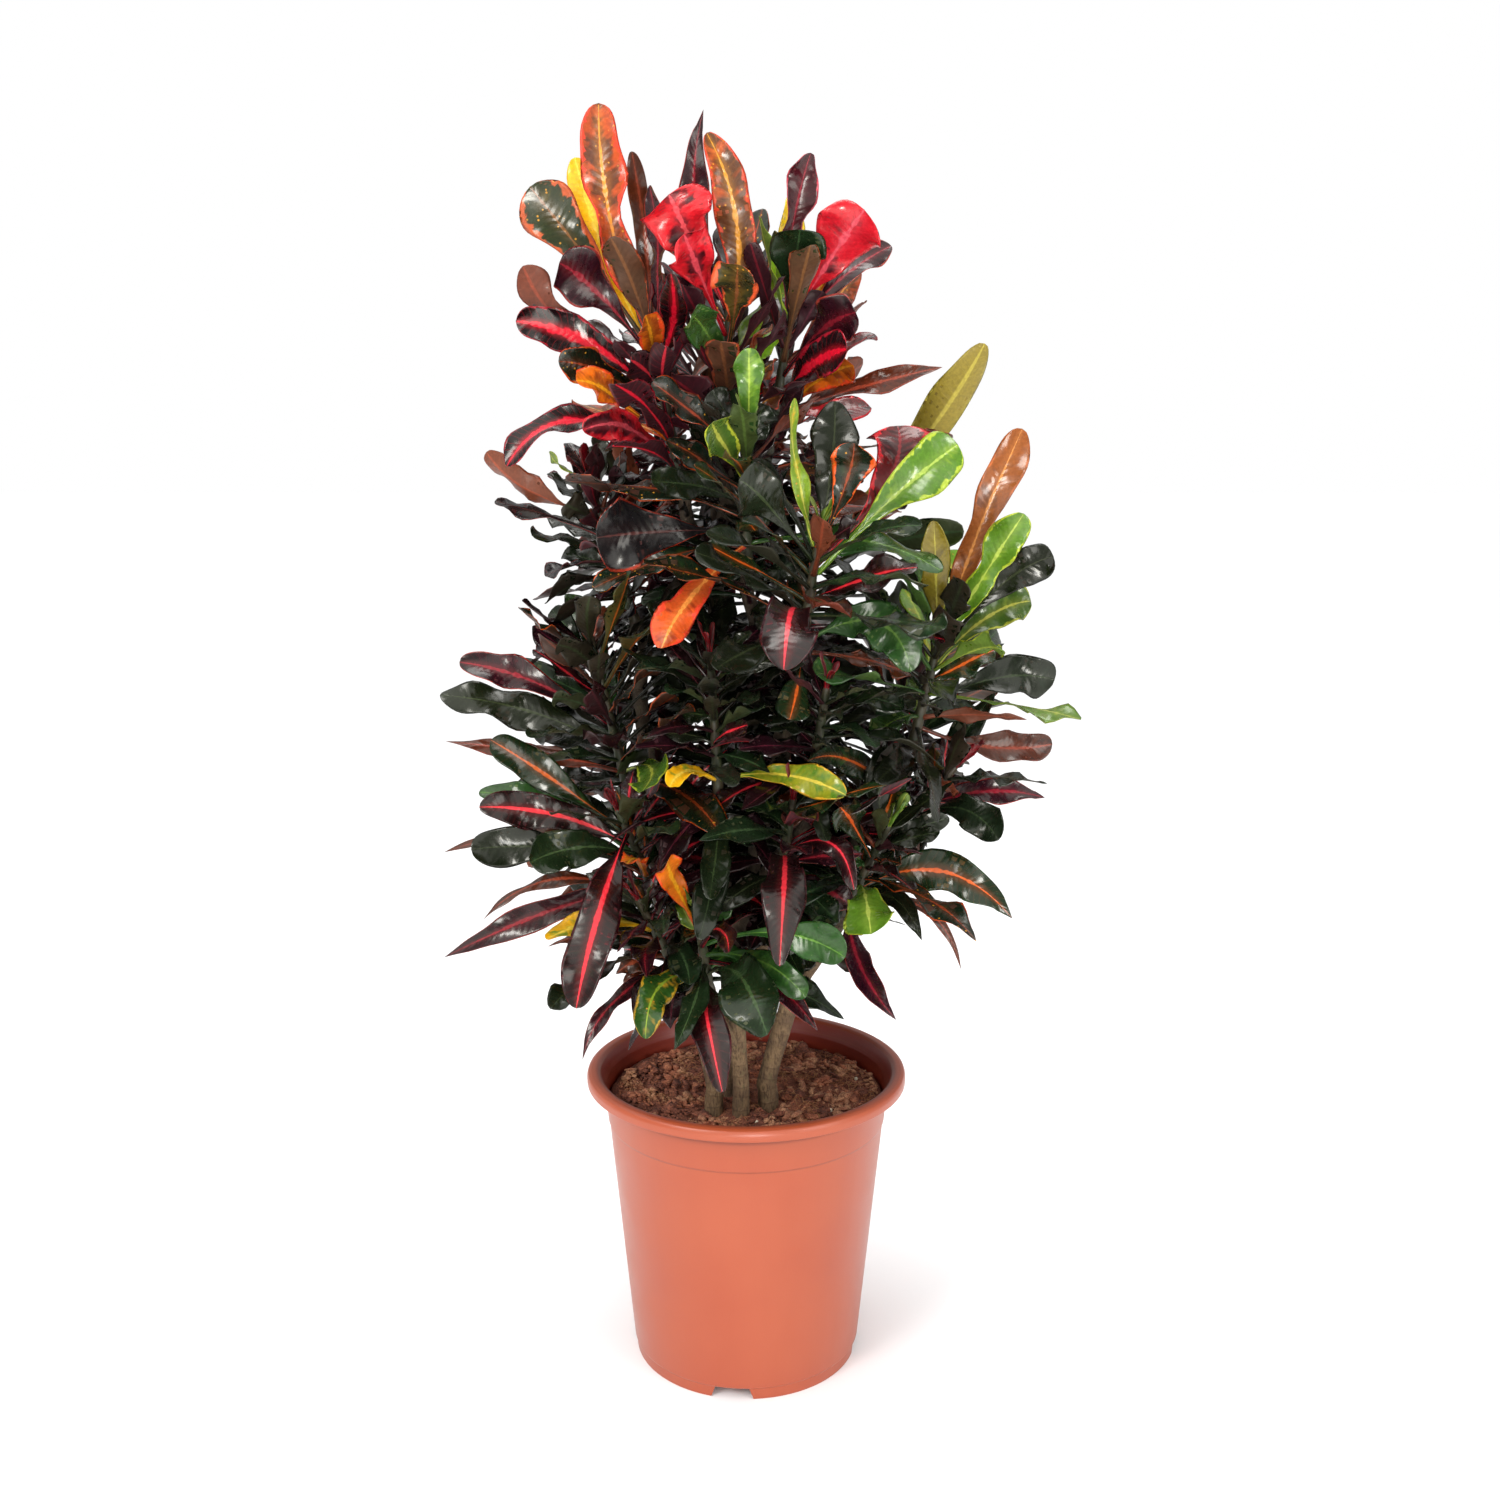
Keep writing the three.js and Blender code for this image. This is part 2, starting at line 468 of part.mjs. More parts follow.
// Another diamond may grow a leaf by its shoot's habit, drawn again until it finds room.
function growFree(shoot, spot) {
  const habit = habits[shoot.habit];
  const height = (spot.tier - 1) / (shoot.tiers - 1);
  if (stream(shoot.number, spot.tier, spot.place)() > habit.fill) return;
  const shorter = 1 - towardBud.length * height * height;
  for (let attempt = 0; attempt < growth.tries; attempt++) {
    const draw = stream(shoot.number, spot.tier, spot.place, attempt);
    const reach = habit.length * between(...spread.size, draw()) * shorter * (1 - growth.shrink * attempt);
    const width = habit.width * between(...spread.size, draw()) * (1 - towardBud.width * height);
    const rise = between(...habit.rise, height) + between(-spread.rise, spread.rise, draw());
    const sway = shoot.axis.clone().cross(spot.out).multiplyScalar(between(-spread.sway, spread.sway, draw()));
    const droop = habit.droop * between(...spread.droop, draw()) * (1 - towardBud.droop * height);
    const outline = habit.outlines[Math.floor(draw() * habit.outlines.length)];
    const leaving = spot.out.clone().addScaledVector(shoot.axis, rise + spread.lift).normalize();
    const ending = leaving.clone().add(sway).add(point(0, 0, -droop)).normalize();
    const bend = spot.middle.clone().addScaledVector(leaving, reach * 0.5);
    const tip = bend.clone().addScaledVector(ending, reach * 0.5);
    const face = between(-spread.face, spread.face, draw());
    const twist = between(-spread.twist, spread.twist, draw());
    const ripples = { waves: between(...waves, draw()), phase: draw() };
    const size = width > growth.wide && reach > growth.long ? "middle" : "small";
    if (seat({ tip, bend, width, outline, face, twist, size, ...ripples }, shoot, spot)) return;
  }
}

// A shape with only its places, its equal points merged and its flat triangles dropped
function tidied(geometry) {
  const bare = new THREE.BufferGeometry().setAttribute("position", geometry.attributes.position.clone());
  if (geometry.index) bare.setIndex([...geometry.index.array]);
  const merged = mergeVertices(bare, 1e-4);
  const old = merged.index.array;
  const index = [];
  for (let i = 0; i < old.length; i += 3) {
    const [a, b, c] = [old[i], old[i + 1], old[i + 2]];
    if (a !== b && b !== c && c !== a) index.push(a, b, c);
  }
  return merged.setIndex(index);
}
function toManifold(geometry) {
  const { attributes, index } = tidied(geometry);
  const vertProperties = Float32Array.from(attributes.position.array);
  return new Manifold(new manifold.Mesh({ numProp: 3, vertProperties, triVerts: Uint32Array.from(index.array) }));
}
function named(geometry, name, material) {
  const mesh = new THREE.Mesh(geometry, new THREE.MeshStandardMaterial({ metalness: 0, ...material }));
  mesh.name = name;
  return mesh;
}
function toMesh(solid, name, material) {
  const { vertProperties, triVerts } = solid.getMesh();
  const geometry = new THREE.BufferGeometry();
  geometry.setAttribute("position", new THREE.BufferAttribute(vertProperties, 3)).setIndex([...triVerts]);
  return named(geometry, name, material);
}

// A cylinder bent along a course and tapered from one radius to the other
function tube(course, startRadius, endRadius, sides, steps) {
  const curve = new THREE.CatmullRomCurve3(course, false, "catmullrom", 0.5);
  const geometry = new THREE.CylinderGeometry(1, 1, 1, sides, steps);
  const { position } = geometry.attributes;
  for (let i = 0; i < position.count; i++) {
    const at = point(0, 0, 0).fromBufferAttribute(position, i);
    const share = 0.5 - at.y;
    const radius = between(startRadius, endRadius, share) * Math.hypot(at.x, at.z);
    const frame = crossFrame(curve.getTangent(share));
    const bent = around(curve.getPoint(share), frame, radius, Math.atan2(at.z, at.x));
    position.setXYZ(i, bent.x, bent.y, bent.z);
  }
  return geometry;
}
function facesOf(geometry) {
  const flat = geometry.toNonIndexed().attributes.position;
  const corners = Array.from({ length: flat.count }, (_, i) => point(0, 0, 0).fromBufferAttribute(flat, i));
  return Array.from({ length: flat.count / 3 }, (_, i) => corners.slice(3 * i, 3 * i + 3));
}

// A stem with its branches, as bent cylinders that run into each other
function stemTubes(stem) {
  const end = (name) => {
    const { foot, axis } = shoots.find((each) => each.name === name);
    return [foot.clone().addScaledVector(axis, -wood.lead), foot];
  };
  const [x, y] = stem.stand;
  const upright = [soil.top - wood.deep, soil.top + 4, soil.top + 24].map((z) => point(x, y, z));
  const course = [...upright, ...stem.points.map((at) => point(...at)), ...end(stem.shoot)];
  const trunk = new THREE.CatmullRomCurve3(course, false, "catmullrom", 0.5);
  const branches = stem.branches.map(([name, share]) => {
    const from = trunk.getPoint(share);
    const [before, foot] = end(name);
    const away = before.clone().sub(from).normalize();
    const leaving = trunk.getTangent(share).add(away).normalize();
    const second = from.clone().addScaledVector(leaving, before.distanceTo(from) * branch.bend);
    const startRadius = Math.min(between(stem.radius, core.footRadius, share) * branch.taper, branch.widest);
    return tube([from, second, before, foot], startRadius, core.footRadius, wood.branchSides, wood.branchSteps);
  });
  return [tube(course, stem.radius, core.footRadius, wood.sides, wood.steps), ...branches];
}
function stemMesh(stem) {
  const solid = Manifold.union(stemTubes(stem).map(toManifold));
  return toMesh(solid, stem.name, { color: wood.colour, roughness: 0.8 });
}

// The triangles over a shoot: the lattice core, with its leaves raised from it
function shootFaces(shoot) {
  const head = shoot.tiers + 1;
  const bud = shoot.start.clone().addScaledVector(shoot.axis, head * shoot.tierGap + core.cap);
  const faces = allSpots(shoot).flatMap(({ tier, place, corners: [right, top, left, bottom] }) => {
    const leaf = shoot.leaves.get(`${tier}/${place}`);
    return leaf ? leafFaces(leaf, exact) : [[left, right, top], [right, left, bottom]];
  });
  for (let i = 0; i < core.around; i++) {
    const [left, right] = [corner(shoot, 0, i), corner(shoot, 0, i + 1)];
    const [highLeft, highRight] = [corner(shoot, head, i), corner(shoot, head, i + 1)];
    const below = corner(shoot, head - 1, head % 2 ? i + 1 : i);
    faces.push([left, right, corner(shoot, 1, i)], [right, left, shoot.start]);
    faces.push([highLeft, highRight, bud], [highRight, highLeft, below]);
  }
  return faces;
}
function shootMesh(shoot) {
  const positions = shootFaces(shoot).flatMap((face) => face.flatMap(({ x, y, z }) => [x, y, z]));
  const geometry = new THREE.BufferGeometry();
  geometry.setAttribute("position", new THREE.Float32BufferAttribute(positions, 3));
  return named(tidied(geometry), `shoot_${shoot.name}`, { color: shoot.colour, roughness: 0.35 });
}

// A shape turned about the upright axis from a profile of radii and heights
function turned(profile, sides) {
  const points = profile.map(([radius, z]) => new THREE.Vector2(radius, z));
  return new THREE.LatheGeometry(points, sides).rotateX(90 * degree);
}

// The radius of the pot's outer wall at a height
function wallAt(z) {
  const rise = pot.height - pot.neckDrop - pot.footHeight;
  return between(pot.baseRadius, pot.neckRadius, (z - pot.footHeight) / rise);
}

// The pot: floor, foot ring with notches, wall, band and a rim that is rolled over, open underneath
function potMesh() {
  const { height, rimRadius, footHeight, footRadius, footWall, wall } = pot;
  const neck = height - pot.neckDrop;
  const floorTop = footHeight + pot.floor;
  const profile = [
    [0, footHeight],
    [footRadius - footWall, footHeight],
    [footRadius - footWall, 0],
    [footRadius, 0],
    [footRadius + 0.4, footHeight - 0.6],
    [pot.baseRadius, footHeight + 1],
    [wallAt(pot.bandLine - 1) - pot.bandStep, pot.bandLine - 1],
    [wallAt(pot.bandLine), pot.bandLine],
    [pot.neckRadius, neck],
    [rimRadius - 9, height - 2.2],
    [rimRadius - 3.4, height - 2.2],
    [rimRadius - 1.9, height - 4],
    [rimRadius - 1.8, height - pot.rimDrop],
    [rimRadius - 0.2, height - pot.rimDrop],
    [rimRadius, height - 4],
    [rimRadius - 1, height - 1.2],
    [rimRadius - 3.5, height],
    [rimRadius - 8, height],
    [rimRadius - 10.2, height - 1.4],
    [rimRadius - 12.4, height - 6],
    [pot.neckRadius - wall, neck - 2],
    [wallAt(floorTop) - wall, floorTop],
    [0, floorTop],
  ];
  const opening = new THREE.Shape([
    new THREE.Vector2(-notch.bottomWidth / 2, -1),
    new THREE.Vector2(notch.bottomWidth / 2, -1),
    new THREE.Vector2(notch.topWidth / 2, footHeight),
    new THREE.Vector2(-notch.topWidth / 2, footHeight),
  ]);
  const cutter = new THREE.ExtrudeGeometry(opening, { depth: notch.depth, bevelEnabled: false });
  cutter.rotateX(90 * degree).translate(0, notch.depth / 2 - footRadius, 0).rotateZ((notch.turn + 90) * degree);
  const hole = new THREE.CylinderGeometry(drain.radius, drain.radius, 2 * drain.radius, drain.sides);
  hole.rotateX(90 * degree).translate(drain.ring, 0, footHeight);
  const copies = (shape, count) =>
    Array.from({ length: count }, (_, i) => toManifold(shape.clone().rotateZ((i * 360 * degree) / count)));
  const body = toManifold(turned(profile, pot.sides));
  const cut = Manifold.difference([body, ...copies(cutter, notch.count), ...copies(hole, drain.count)]);
  return toMesh(cut, "pot", { color: 0xc4562f, roughness: 0.4 });
}

// The soil: a plug that follows the pot's inner wall, a little uneven on top, with a plain hole for
// each stem
function soilMesh() {
  const { top, gap, relief, ripples, shoulder, rings, sides } = soil;
  const inside = (z) => wallAt(z) - pot.wall - pot.bandStep - gap - soil.play;
  const bottom = pot.footHeight + pot.floor + gap;
  const edge = inside(top);
  const profile = [[0, bottom], [inside(bottom), bottom], [edge, top - relief]];
  for (let ring = rings; ring >= 0; ring--) profile.push([((edge - shoulder) * ring) / rings, top]);
  const plug = turned(profile, sides);
  const { position } = plug.attributes;
  for (let i = 0; i < position.count; i++) {
    const [x, y, z] = [position.getX(i), position.getY(i), position.getZ(i)];
    if (z > top - 1) position.setZ(i, z + (relief / 2) * Math.sin(ripples[0] * x + 1) * Math.cos(ripples[1] * y));
  }
  const holes = stems.map(({ stand: [x, y], radius }) => {
    const course = [point(x, y, top - wood.deep - gap), point(x, y, top + 20)];
    return toManifold(tube(course, radius + gap, radius + gap, wood.sides, 1));
  });
  const solid = Manifold.difference([toManifold(plug), ...holes]);
  return toMesh(solid, "soil", { color: 0x4a3323, roughness: 0.95 });
}

shoots.forEach(setOut);
for (const stem of stems) {
  for (const each of stemTubes(stem)) obstacles.push(obstacle(facesOf(each)));
}
for (const shoot of shoots) obstacles.push(obstacle(shootFaces(shoot)));
knownLeaves.forEach(growKnown);
const highest = Math.max(...shoots.map((shoot) => shoot.tiers));
for (let tier = 1; tier <= highest; tier++) {
  for (const shoot of shoots) {
    for (const spot of allSpots(shoot)) {
      if (spot.tier === tier && !shoot.leaves.has(`${tier}/${spot.place}`)) growFree(shoot, spot);
    }
  }
}

const group = new THREE.Group();
group.name = "potted_croton";
group.add(potMesh(), soilMesh(), ...stems.map(stemMesh), ...shoots.map(shootMesh));

export default group;
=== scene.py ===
import math

import bmesh
import bpy
import numpy as np
from mathutils import Matrix, Vector


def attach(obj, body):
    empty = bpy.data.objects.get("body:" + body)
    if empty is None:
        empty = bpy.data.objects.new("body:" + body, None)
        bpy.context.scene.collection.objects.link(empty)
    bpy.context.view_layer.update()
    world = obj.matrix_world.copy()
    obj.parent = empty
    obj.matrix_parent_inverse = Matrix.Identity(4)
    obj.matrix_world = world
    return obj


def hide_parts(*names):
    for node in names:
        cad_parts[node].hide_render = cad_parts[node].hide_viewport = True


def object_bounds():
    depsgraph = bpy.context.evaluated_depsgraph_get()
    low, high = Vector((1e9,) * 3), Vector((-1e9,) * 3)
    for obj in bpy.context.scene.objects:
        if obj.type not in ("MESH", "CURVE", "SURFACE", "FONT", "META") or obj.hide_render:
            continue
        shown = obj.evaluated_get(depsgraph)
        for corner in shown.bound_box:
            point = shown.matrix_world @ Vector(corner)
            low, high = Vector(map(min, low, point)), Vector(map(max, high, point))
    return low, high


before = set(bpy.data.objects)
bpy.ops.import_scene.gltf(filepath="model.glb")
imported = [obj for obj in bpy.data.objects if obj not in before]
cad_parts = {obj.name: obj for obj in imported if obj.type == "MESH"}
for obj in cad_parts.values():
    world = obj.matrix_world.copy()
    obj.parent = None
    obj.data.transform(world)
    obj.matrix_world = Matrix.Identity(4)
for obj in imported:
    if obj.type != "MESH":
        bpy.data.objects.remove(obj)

cadBox = [list(corner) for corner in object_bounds()]
mm = 0.001  # the plant is laid out in millimetres, as in the CAD part

# small helpers


def unit(v):
    return v / np.linalg.norm(v, axis=-1, keepdims=True)


def cross(a, b):
    return np.array([a[1] * b[2] - a[2] * b[1], a[2] * b[0] - a[0] * b[2], a[0] * b[1] - a[1] * b[0]])


def between(low, high, share):
    return low + (high - low) * share


def paint(code):
    # sRGB as rrggbb, to the linear numbers that the nodes take
    shares = [int(code[i:i + 2], 16) / 255 for i in (0, 2, 4)]
    return [p / 12.92 if p < 0.04045 else ((p + 0.055) / 1.055) ** 2.4 for p in shares] + [1.0]


def stream(*keys):
    # draws between 0 and 1, the same on every run for the same keys
    state = [20431]

    def turn(key):
        state[0] = (state[0] * 1664525 + 1013904223 + key * 7919) % 4294967296

    for key in keys:
        for each in (key, 1, 2):
            turn(each)

    def draw():
        turn(0)
        return state[0] / 4294967296

    return draw


def pieceFrom(bm, name, materials, slot, nodes=()):
    bmesh.ops.recalc_face_normals(bm, faces=bm.faces[:])
    mesh = bpy.data.meshes.new(name)
    bm.to_mesh(mesh)
    bm.free()
    mesh.shade_smooth()
    piece = bpy.data.objects.new(name, mesh)
    bpy.context.scene.collection.objects.link(piece)
    for material in materials:
        mesh.materials.append(material)
    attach(piece, "root")
    if nodes:
        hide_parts(*nodes)
    return piece


# nodes of a material


class Amount:
    # a node's output, which adds and multiplies as a number does
    def __init__(self, tree, socket):
        self.tree, self.socket = tree, socket

    def math(self, operation, *others):
        return add(self.tree, "Math", self, *others, operation=operation)

    def __add__(self, other):
        return self.math("ADD", other)

    def __sub__(self, other):
        return self.math("SUBTRACT", other)

    def __rsub__(self, other):
        return add(self.tree, "Math", other, self, operation="SUBTRACT")

    def __mul__(self, other):
        return self.math("MULTIPLY", other)

    def __truediv__(self, other):
        return self.math("DIVIDE", other)

    def __pow__(self, other):
        return self.math("POWER", other)

    def __abs__(self):
        return self.math("ABSOLUTE")

    def feed(self, node, socket):
        self.tree.links.new(self.socket, node.inputs[socket])


def add(tree, kind, *feeds, output=0, **settings):
    # a node, with its inputs fed in order by values or by other nodes' outputs
    node = tree.nodes.new("ShaderNode" + kind)
    for key, value in settings.items():
        setattr(node, key, value)
    for socket, feed in zip(node.inputs, feeds):
        if isinstance(feed, Amount):
            tree.links.new(feed.socket, socket)
        elif feed is not None:
            socket.default_value = feed
    return Amount(tree, node.outputs[output])


def larger(first, second):
    return first.math("MAXIMUM", second)


def ramp(value, low, high, start=0.0, end=1.0):
    return add(value.tree, "MapRange", value, low, high, start, end, interpolation_type="SMOOTHSTEP")


def mixed(share, first, second):
    return add(share.tree, "MixRGB", share, first, second)


def parts(place):
    # x, y and z of a place
    node = place.tree.nodes.new("ShaderNodeSeparateXYZ")
    place.feed(node, 0)
    return [Amount(place.tree, socket) for socket in node.outputs]


def stretched(place, scale):
    return add(place.tree, "Mapping", place, None, None, scale)


def noise(place, scale, detail=2.0, rough=0.5):
    return add(place.tree, "TexNoise", place, None, scale, detail, rough)


def newMaterial(name, **settings):
    # a material, its shader and the place on the object
    material = bpy.data.materials.new(name)
    material.use_nodes = True
    shader = material.node_tree.nodes["Principled BSDF"]
    for socket, value in settings.items():
        shader.inputs[socket.replace("_", " ")].default_value = value
    return material, shader, add(material.node_tree, "TexCoord", output="Object")


def bump(shader, height, strength, distance):
    node = height.tree.nodes.new("ShaderNodeBump")
    node.inputs["Strength"].default_value = strength
    node.inputs["Distance"].default_value = distance
    height.feed(node, "Height")
    Amount(height.tree, node.outputs[0]).feed(shader, "Normal")


# the plant's layout, the same as the CAD part's

eye = np.array([0.0, -1097.0, 663.0])  # where the front view is seen from


def sighted(x, z, y):
    share = (y - eye[1]) / -eye[1]
    return np.array([x * share, y, eye[2] + (z - eye[2]) * share])


outlines = {  # how the half width grows, how it closes, and how far it is waisted
    "spoon": (2, 0.5, 0),
    "paddle": (1.2, 0.5, 0),
    "strap": (0.7, 0.5, 0),
    "waisted": (0.8, 0.45, 0.5),
    "lance": (0.8, 1, 0),
}
stations = {"large": [0, 0.25, 0.5, 0.74, 0.92], "middle": [0, 0.3, 0.6, 0.86], "small": [0, 0.38, 0.76]}
waistWidth = 0.13
petiole = {"share": 0.12, "halfWidth": 1.6, "halfThickness": 1.5}
blade = {"halfThickness": 0.9, "tipHalfThickness": 0.6, "start": 0.3, "fold": 0.08, "wave": 0.13, "lag": 0.2}
waves = (1.2, 2.6)
clearance = {"thickness": 0.8, "edge": 0.8, "root": 0.12}
search = {"seed": 900, "lean": (-0.4, 1.4), "spots": 8, "shifts": (0, -10, 10, -20), "farReach": 95,
          "strongTwist": 60}
spread = {"size": (0.75, 1.2), "rise": 0.3, "lift": 0.25, "sway": 0.5, "droop": (0.4, 1.4), "face": 0.35,
          "twist": 70}
growth = {"tries": 7, "shrink": 0.08, "wide": 21, "long": 80}
towardBud = {"length": 0.4, "width": 0.3, "droop": 0.5}
habits = {
    "crown": {"length": 116, "width": 29, "rise": (0, 1.5), "droop": 0.25, "fill": 0.32,
              "outlines": ("spoon", "paddle", "waisted")},
    "bush": {"length": 118, "width": 29, "rise": (-0.2, 1.1), "droop": 0.55, "fill": 0.34,
             "outlines": ("paddle", "strap", "spoon")},
    "sparse": {"length": 88, "width": 25, "rise": (-0.2, 1.1), "droop": 0.55, "fill": 0.34,
               "outlines": ("paddle", "strap", "spoon")},
    "skirt": {"length": 114, "width": 25, "rise": (-0.3, 0.9), "droop": 0.75, "fill": 0.4,
              "outlines": ("lance", "lance", "strap")},
    "inner": {"length": 104, "width": 20, "rise": (-0.4, 0.9), "droop": 0.8, "fill": 0.5,
              "outlines": ("lance", "strap")},
}
slots = {"crown": "leaves_top", "bush": "leaves_middle", "sparse": "leaves_middle", "skirt": "leaves_low",
         "inner": "leaves_inner"}
shoots = [  # name, foot and bud as sighted x, z, y, habit, palette of the leaves that are not known
    ("top_left", (-45, 652, -14), (-68, 768, -30), "crown", "wine"),
    ("top_middle", (-14, 668, -12), (-12, 786, -25), "crown", "flame"),
    ("top_right", (12, 658, 0), (32, 778, -15), "crown", "wine"),
    ("top_back", (-22, 650, 36), (-30, 762, 84), "crown", "wine"),
    ("centre_high", (0, 606, -54), (0, 690, -80), "bush", "forest"),
    ("middle_left", (-80, 560, 4), (-110, 655, -8), "sparse", "night"),
    ("middle_left_back", (-58, 560, 56), (-82, 662, 108), "sparse", "night"),
    ("middle_front", (38, 528, -76), (52, 622, -102), "bush", "forest"),
    ("middle_back", (38, 545, 56), (58, 655, 108), "bush", "forest"),
    ("right", (122, 474, -26), (142, 560, -45), "bush", "meadow"),
    ("right_low", (112, 404, -12), (152, 452, -26), "skirt", "dusk"),
    ("right_bottom", (72, 342, -52), (104, 408, -80), "skirt", "forest"),
    ("right_back", (88, 430, 58), (122, 525, 108), "bush", "forest"),
    ("left", (-84, 424, -16), (-112, 548, -34), "bush", "forest"),
    ("left_low", (-64, 350, -46), (-94, 420, -72), "skirt", "dusk"),
    ("left_bottom", (-48, 290, -56), (-80, 352, -84), "skirt", "dusk"),
    ("left_back", (-70, 390, 54), (-100, 480, 104), "bush", "night"),
    ("front_bottom", (-28, 284, -78), (-36, 340, -112), "skirt", "meadow"),
    ("front_right", (24, 358, -78), (34, 428, -112), "skirt", "dusk"),
    ("front_middle", (-18, 392, -68), (-26, 535, -100), "inner", "shade"),
    ("inner_right", (46, 432, -78), (58, 510, -104), "inner", "shade"),
    ("back_low", (12, 322, 50), (24, 396, 110), "skirt", "forest"),
    ("back_middle", (-5, 435, 62), (-6, 520, 116), "bush", "forest"),
]
core = {"footRadius": 4.8, "budRadius": 3, "gap": 0.3, "cap": 4, "tier": 9, "around": 4}
wood = {"sides": 7, "branchSides": 5, "steps": 14, "branchSteps": 3, "lead": 24, "deep": 90}
branch = {"taper": 0.85, "widest": 5.6, "bend": 0.4}
stems = [  # name, stand, points above the soil, radius, shoot at the end, branches with their shares
    ("stem_left", (-24, -38), [(-38, -36, 290), (-58, -26, 390), (-76, -8, 500)], 7, "middle_left",
     [("left_bottom", 0.33), ("left_low", 0.42), ("left_back", 0.45), ("left", 0.52)]),
    ("stem_front", (-4, -46), [(-6, -55, 300), (6, -60, 400), (26, -68, 480)], 6.5, "middle_front",
     [("front_bottom", 0.32), ("front_middle", 0.45), ("inner_right", 0.5), ("centre_high", 0.66)]),
    ("stem_right", (16, -30), [(34, -32, 290), (68, -26, 380), (102, -22, 440)], 8, "right",
     [("front_right", 0.38), ("right_bottom", 0.4), ("right_back", 0.46), ("right_low", 0.5)]),
    ("stem_back", (-10, -8), [(-14, 4, 320), (-20, 8, 450), (-22, 4, 580)], 7.5, "top_middle",
     [("back_low", 0.31), ("back_middle", 0.45), ("middle_left_back", 0.57), ("middle_back", 0.6),
      ("top_back", 0.7), ("top_left", 0.73), ("top_right", 0.76)]),
]
soil = {"top": 203, "steps": 72, "chips": 2600, "fibres": 700, "grains": 5, "batch": 60, "spread": 0.965,
        "stemGap": 4}
pot = {"height": 224, "rimRadius": 120, "rimDrop": 9, "neckRadius": 107.2, "neckDrop": 10, "baseRadius": 86.3,
       "wall": 1.8, "bandLine": 186, "bandStep": 0.7, "footHeight": 9, "footRadius": 84.5, "footWall": 3,
       "floor": 2.5, "steps": 160, "soft": 0.7, "sharpAngle": 20}
streams = {"inner": 300, "extra": 40, "outward": 9, "finish": 77, "outline": 31, "paint": 55, "bud": 66,
           "soil": 301}

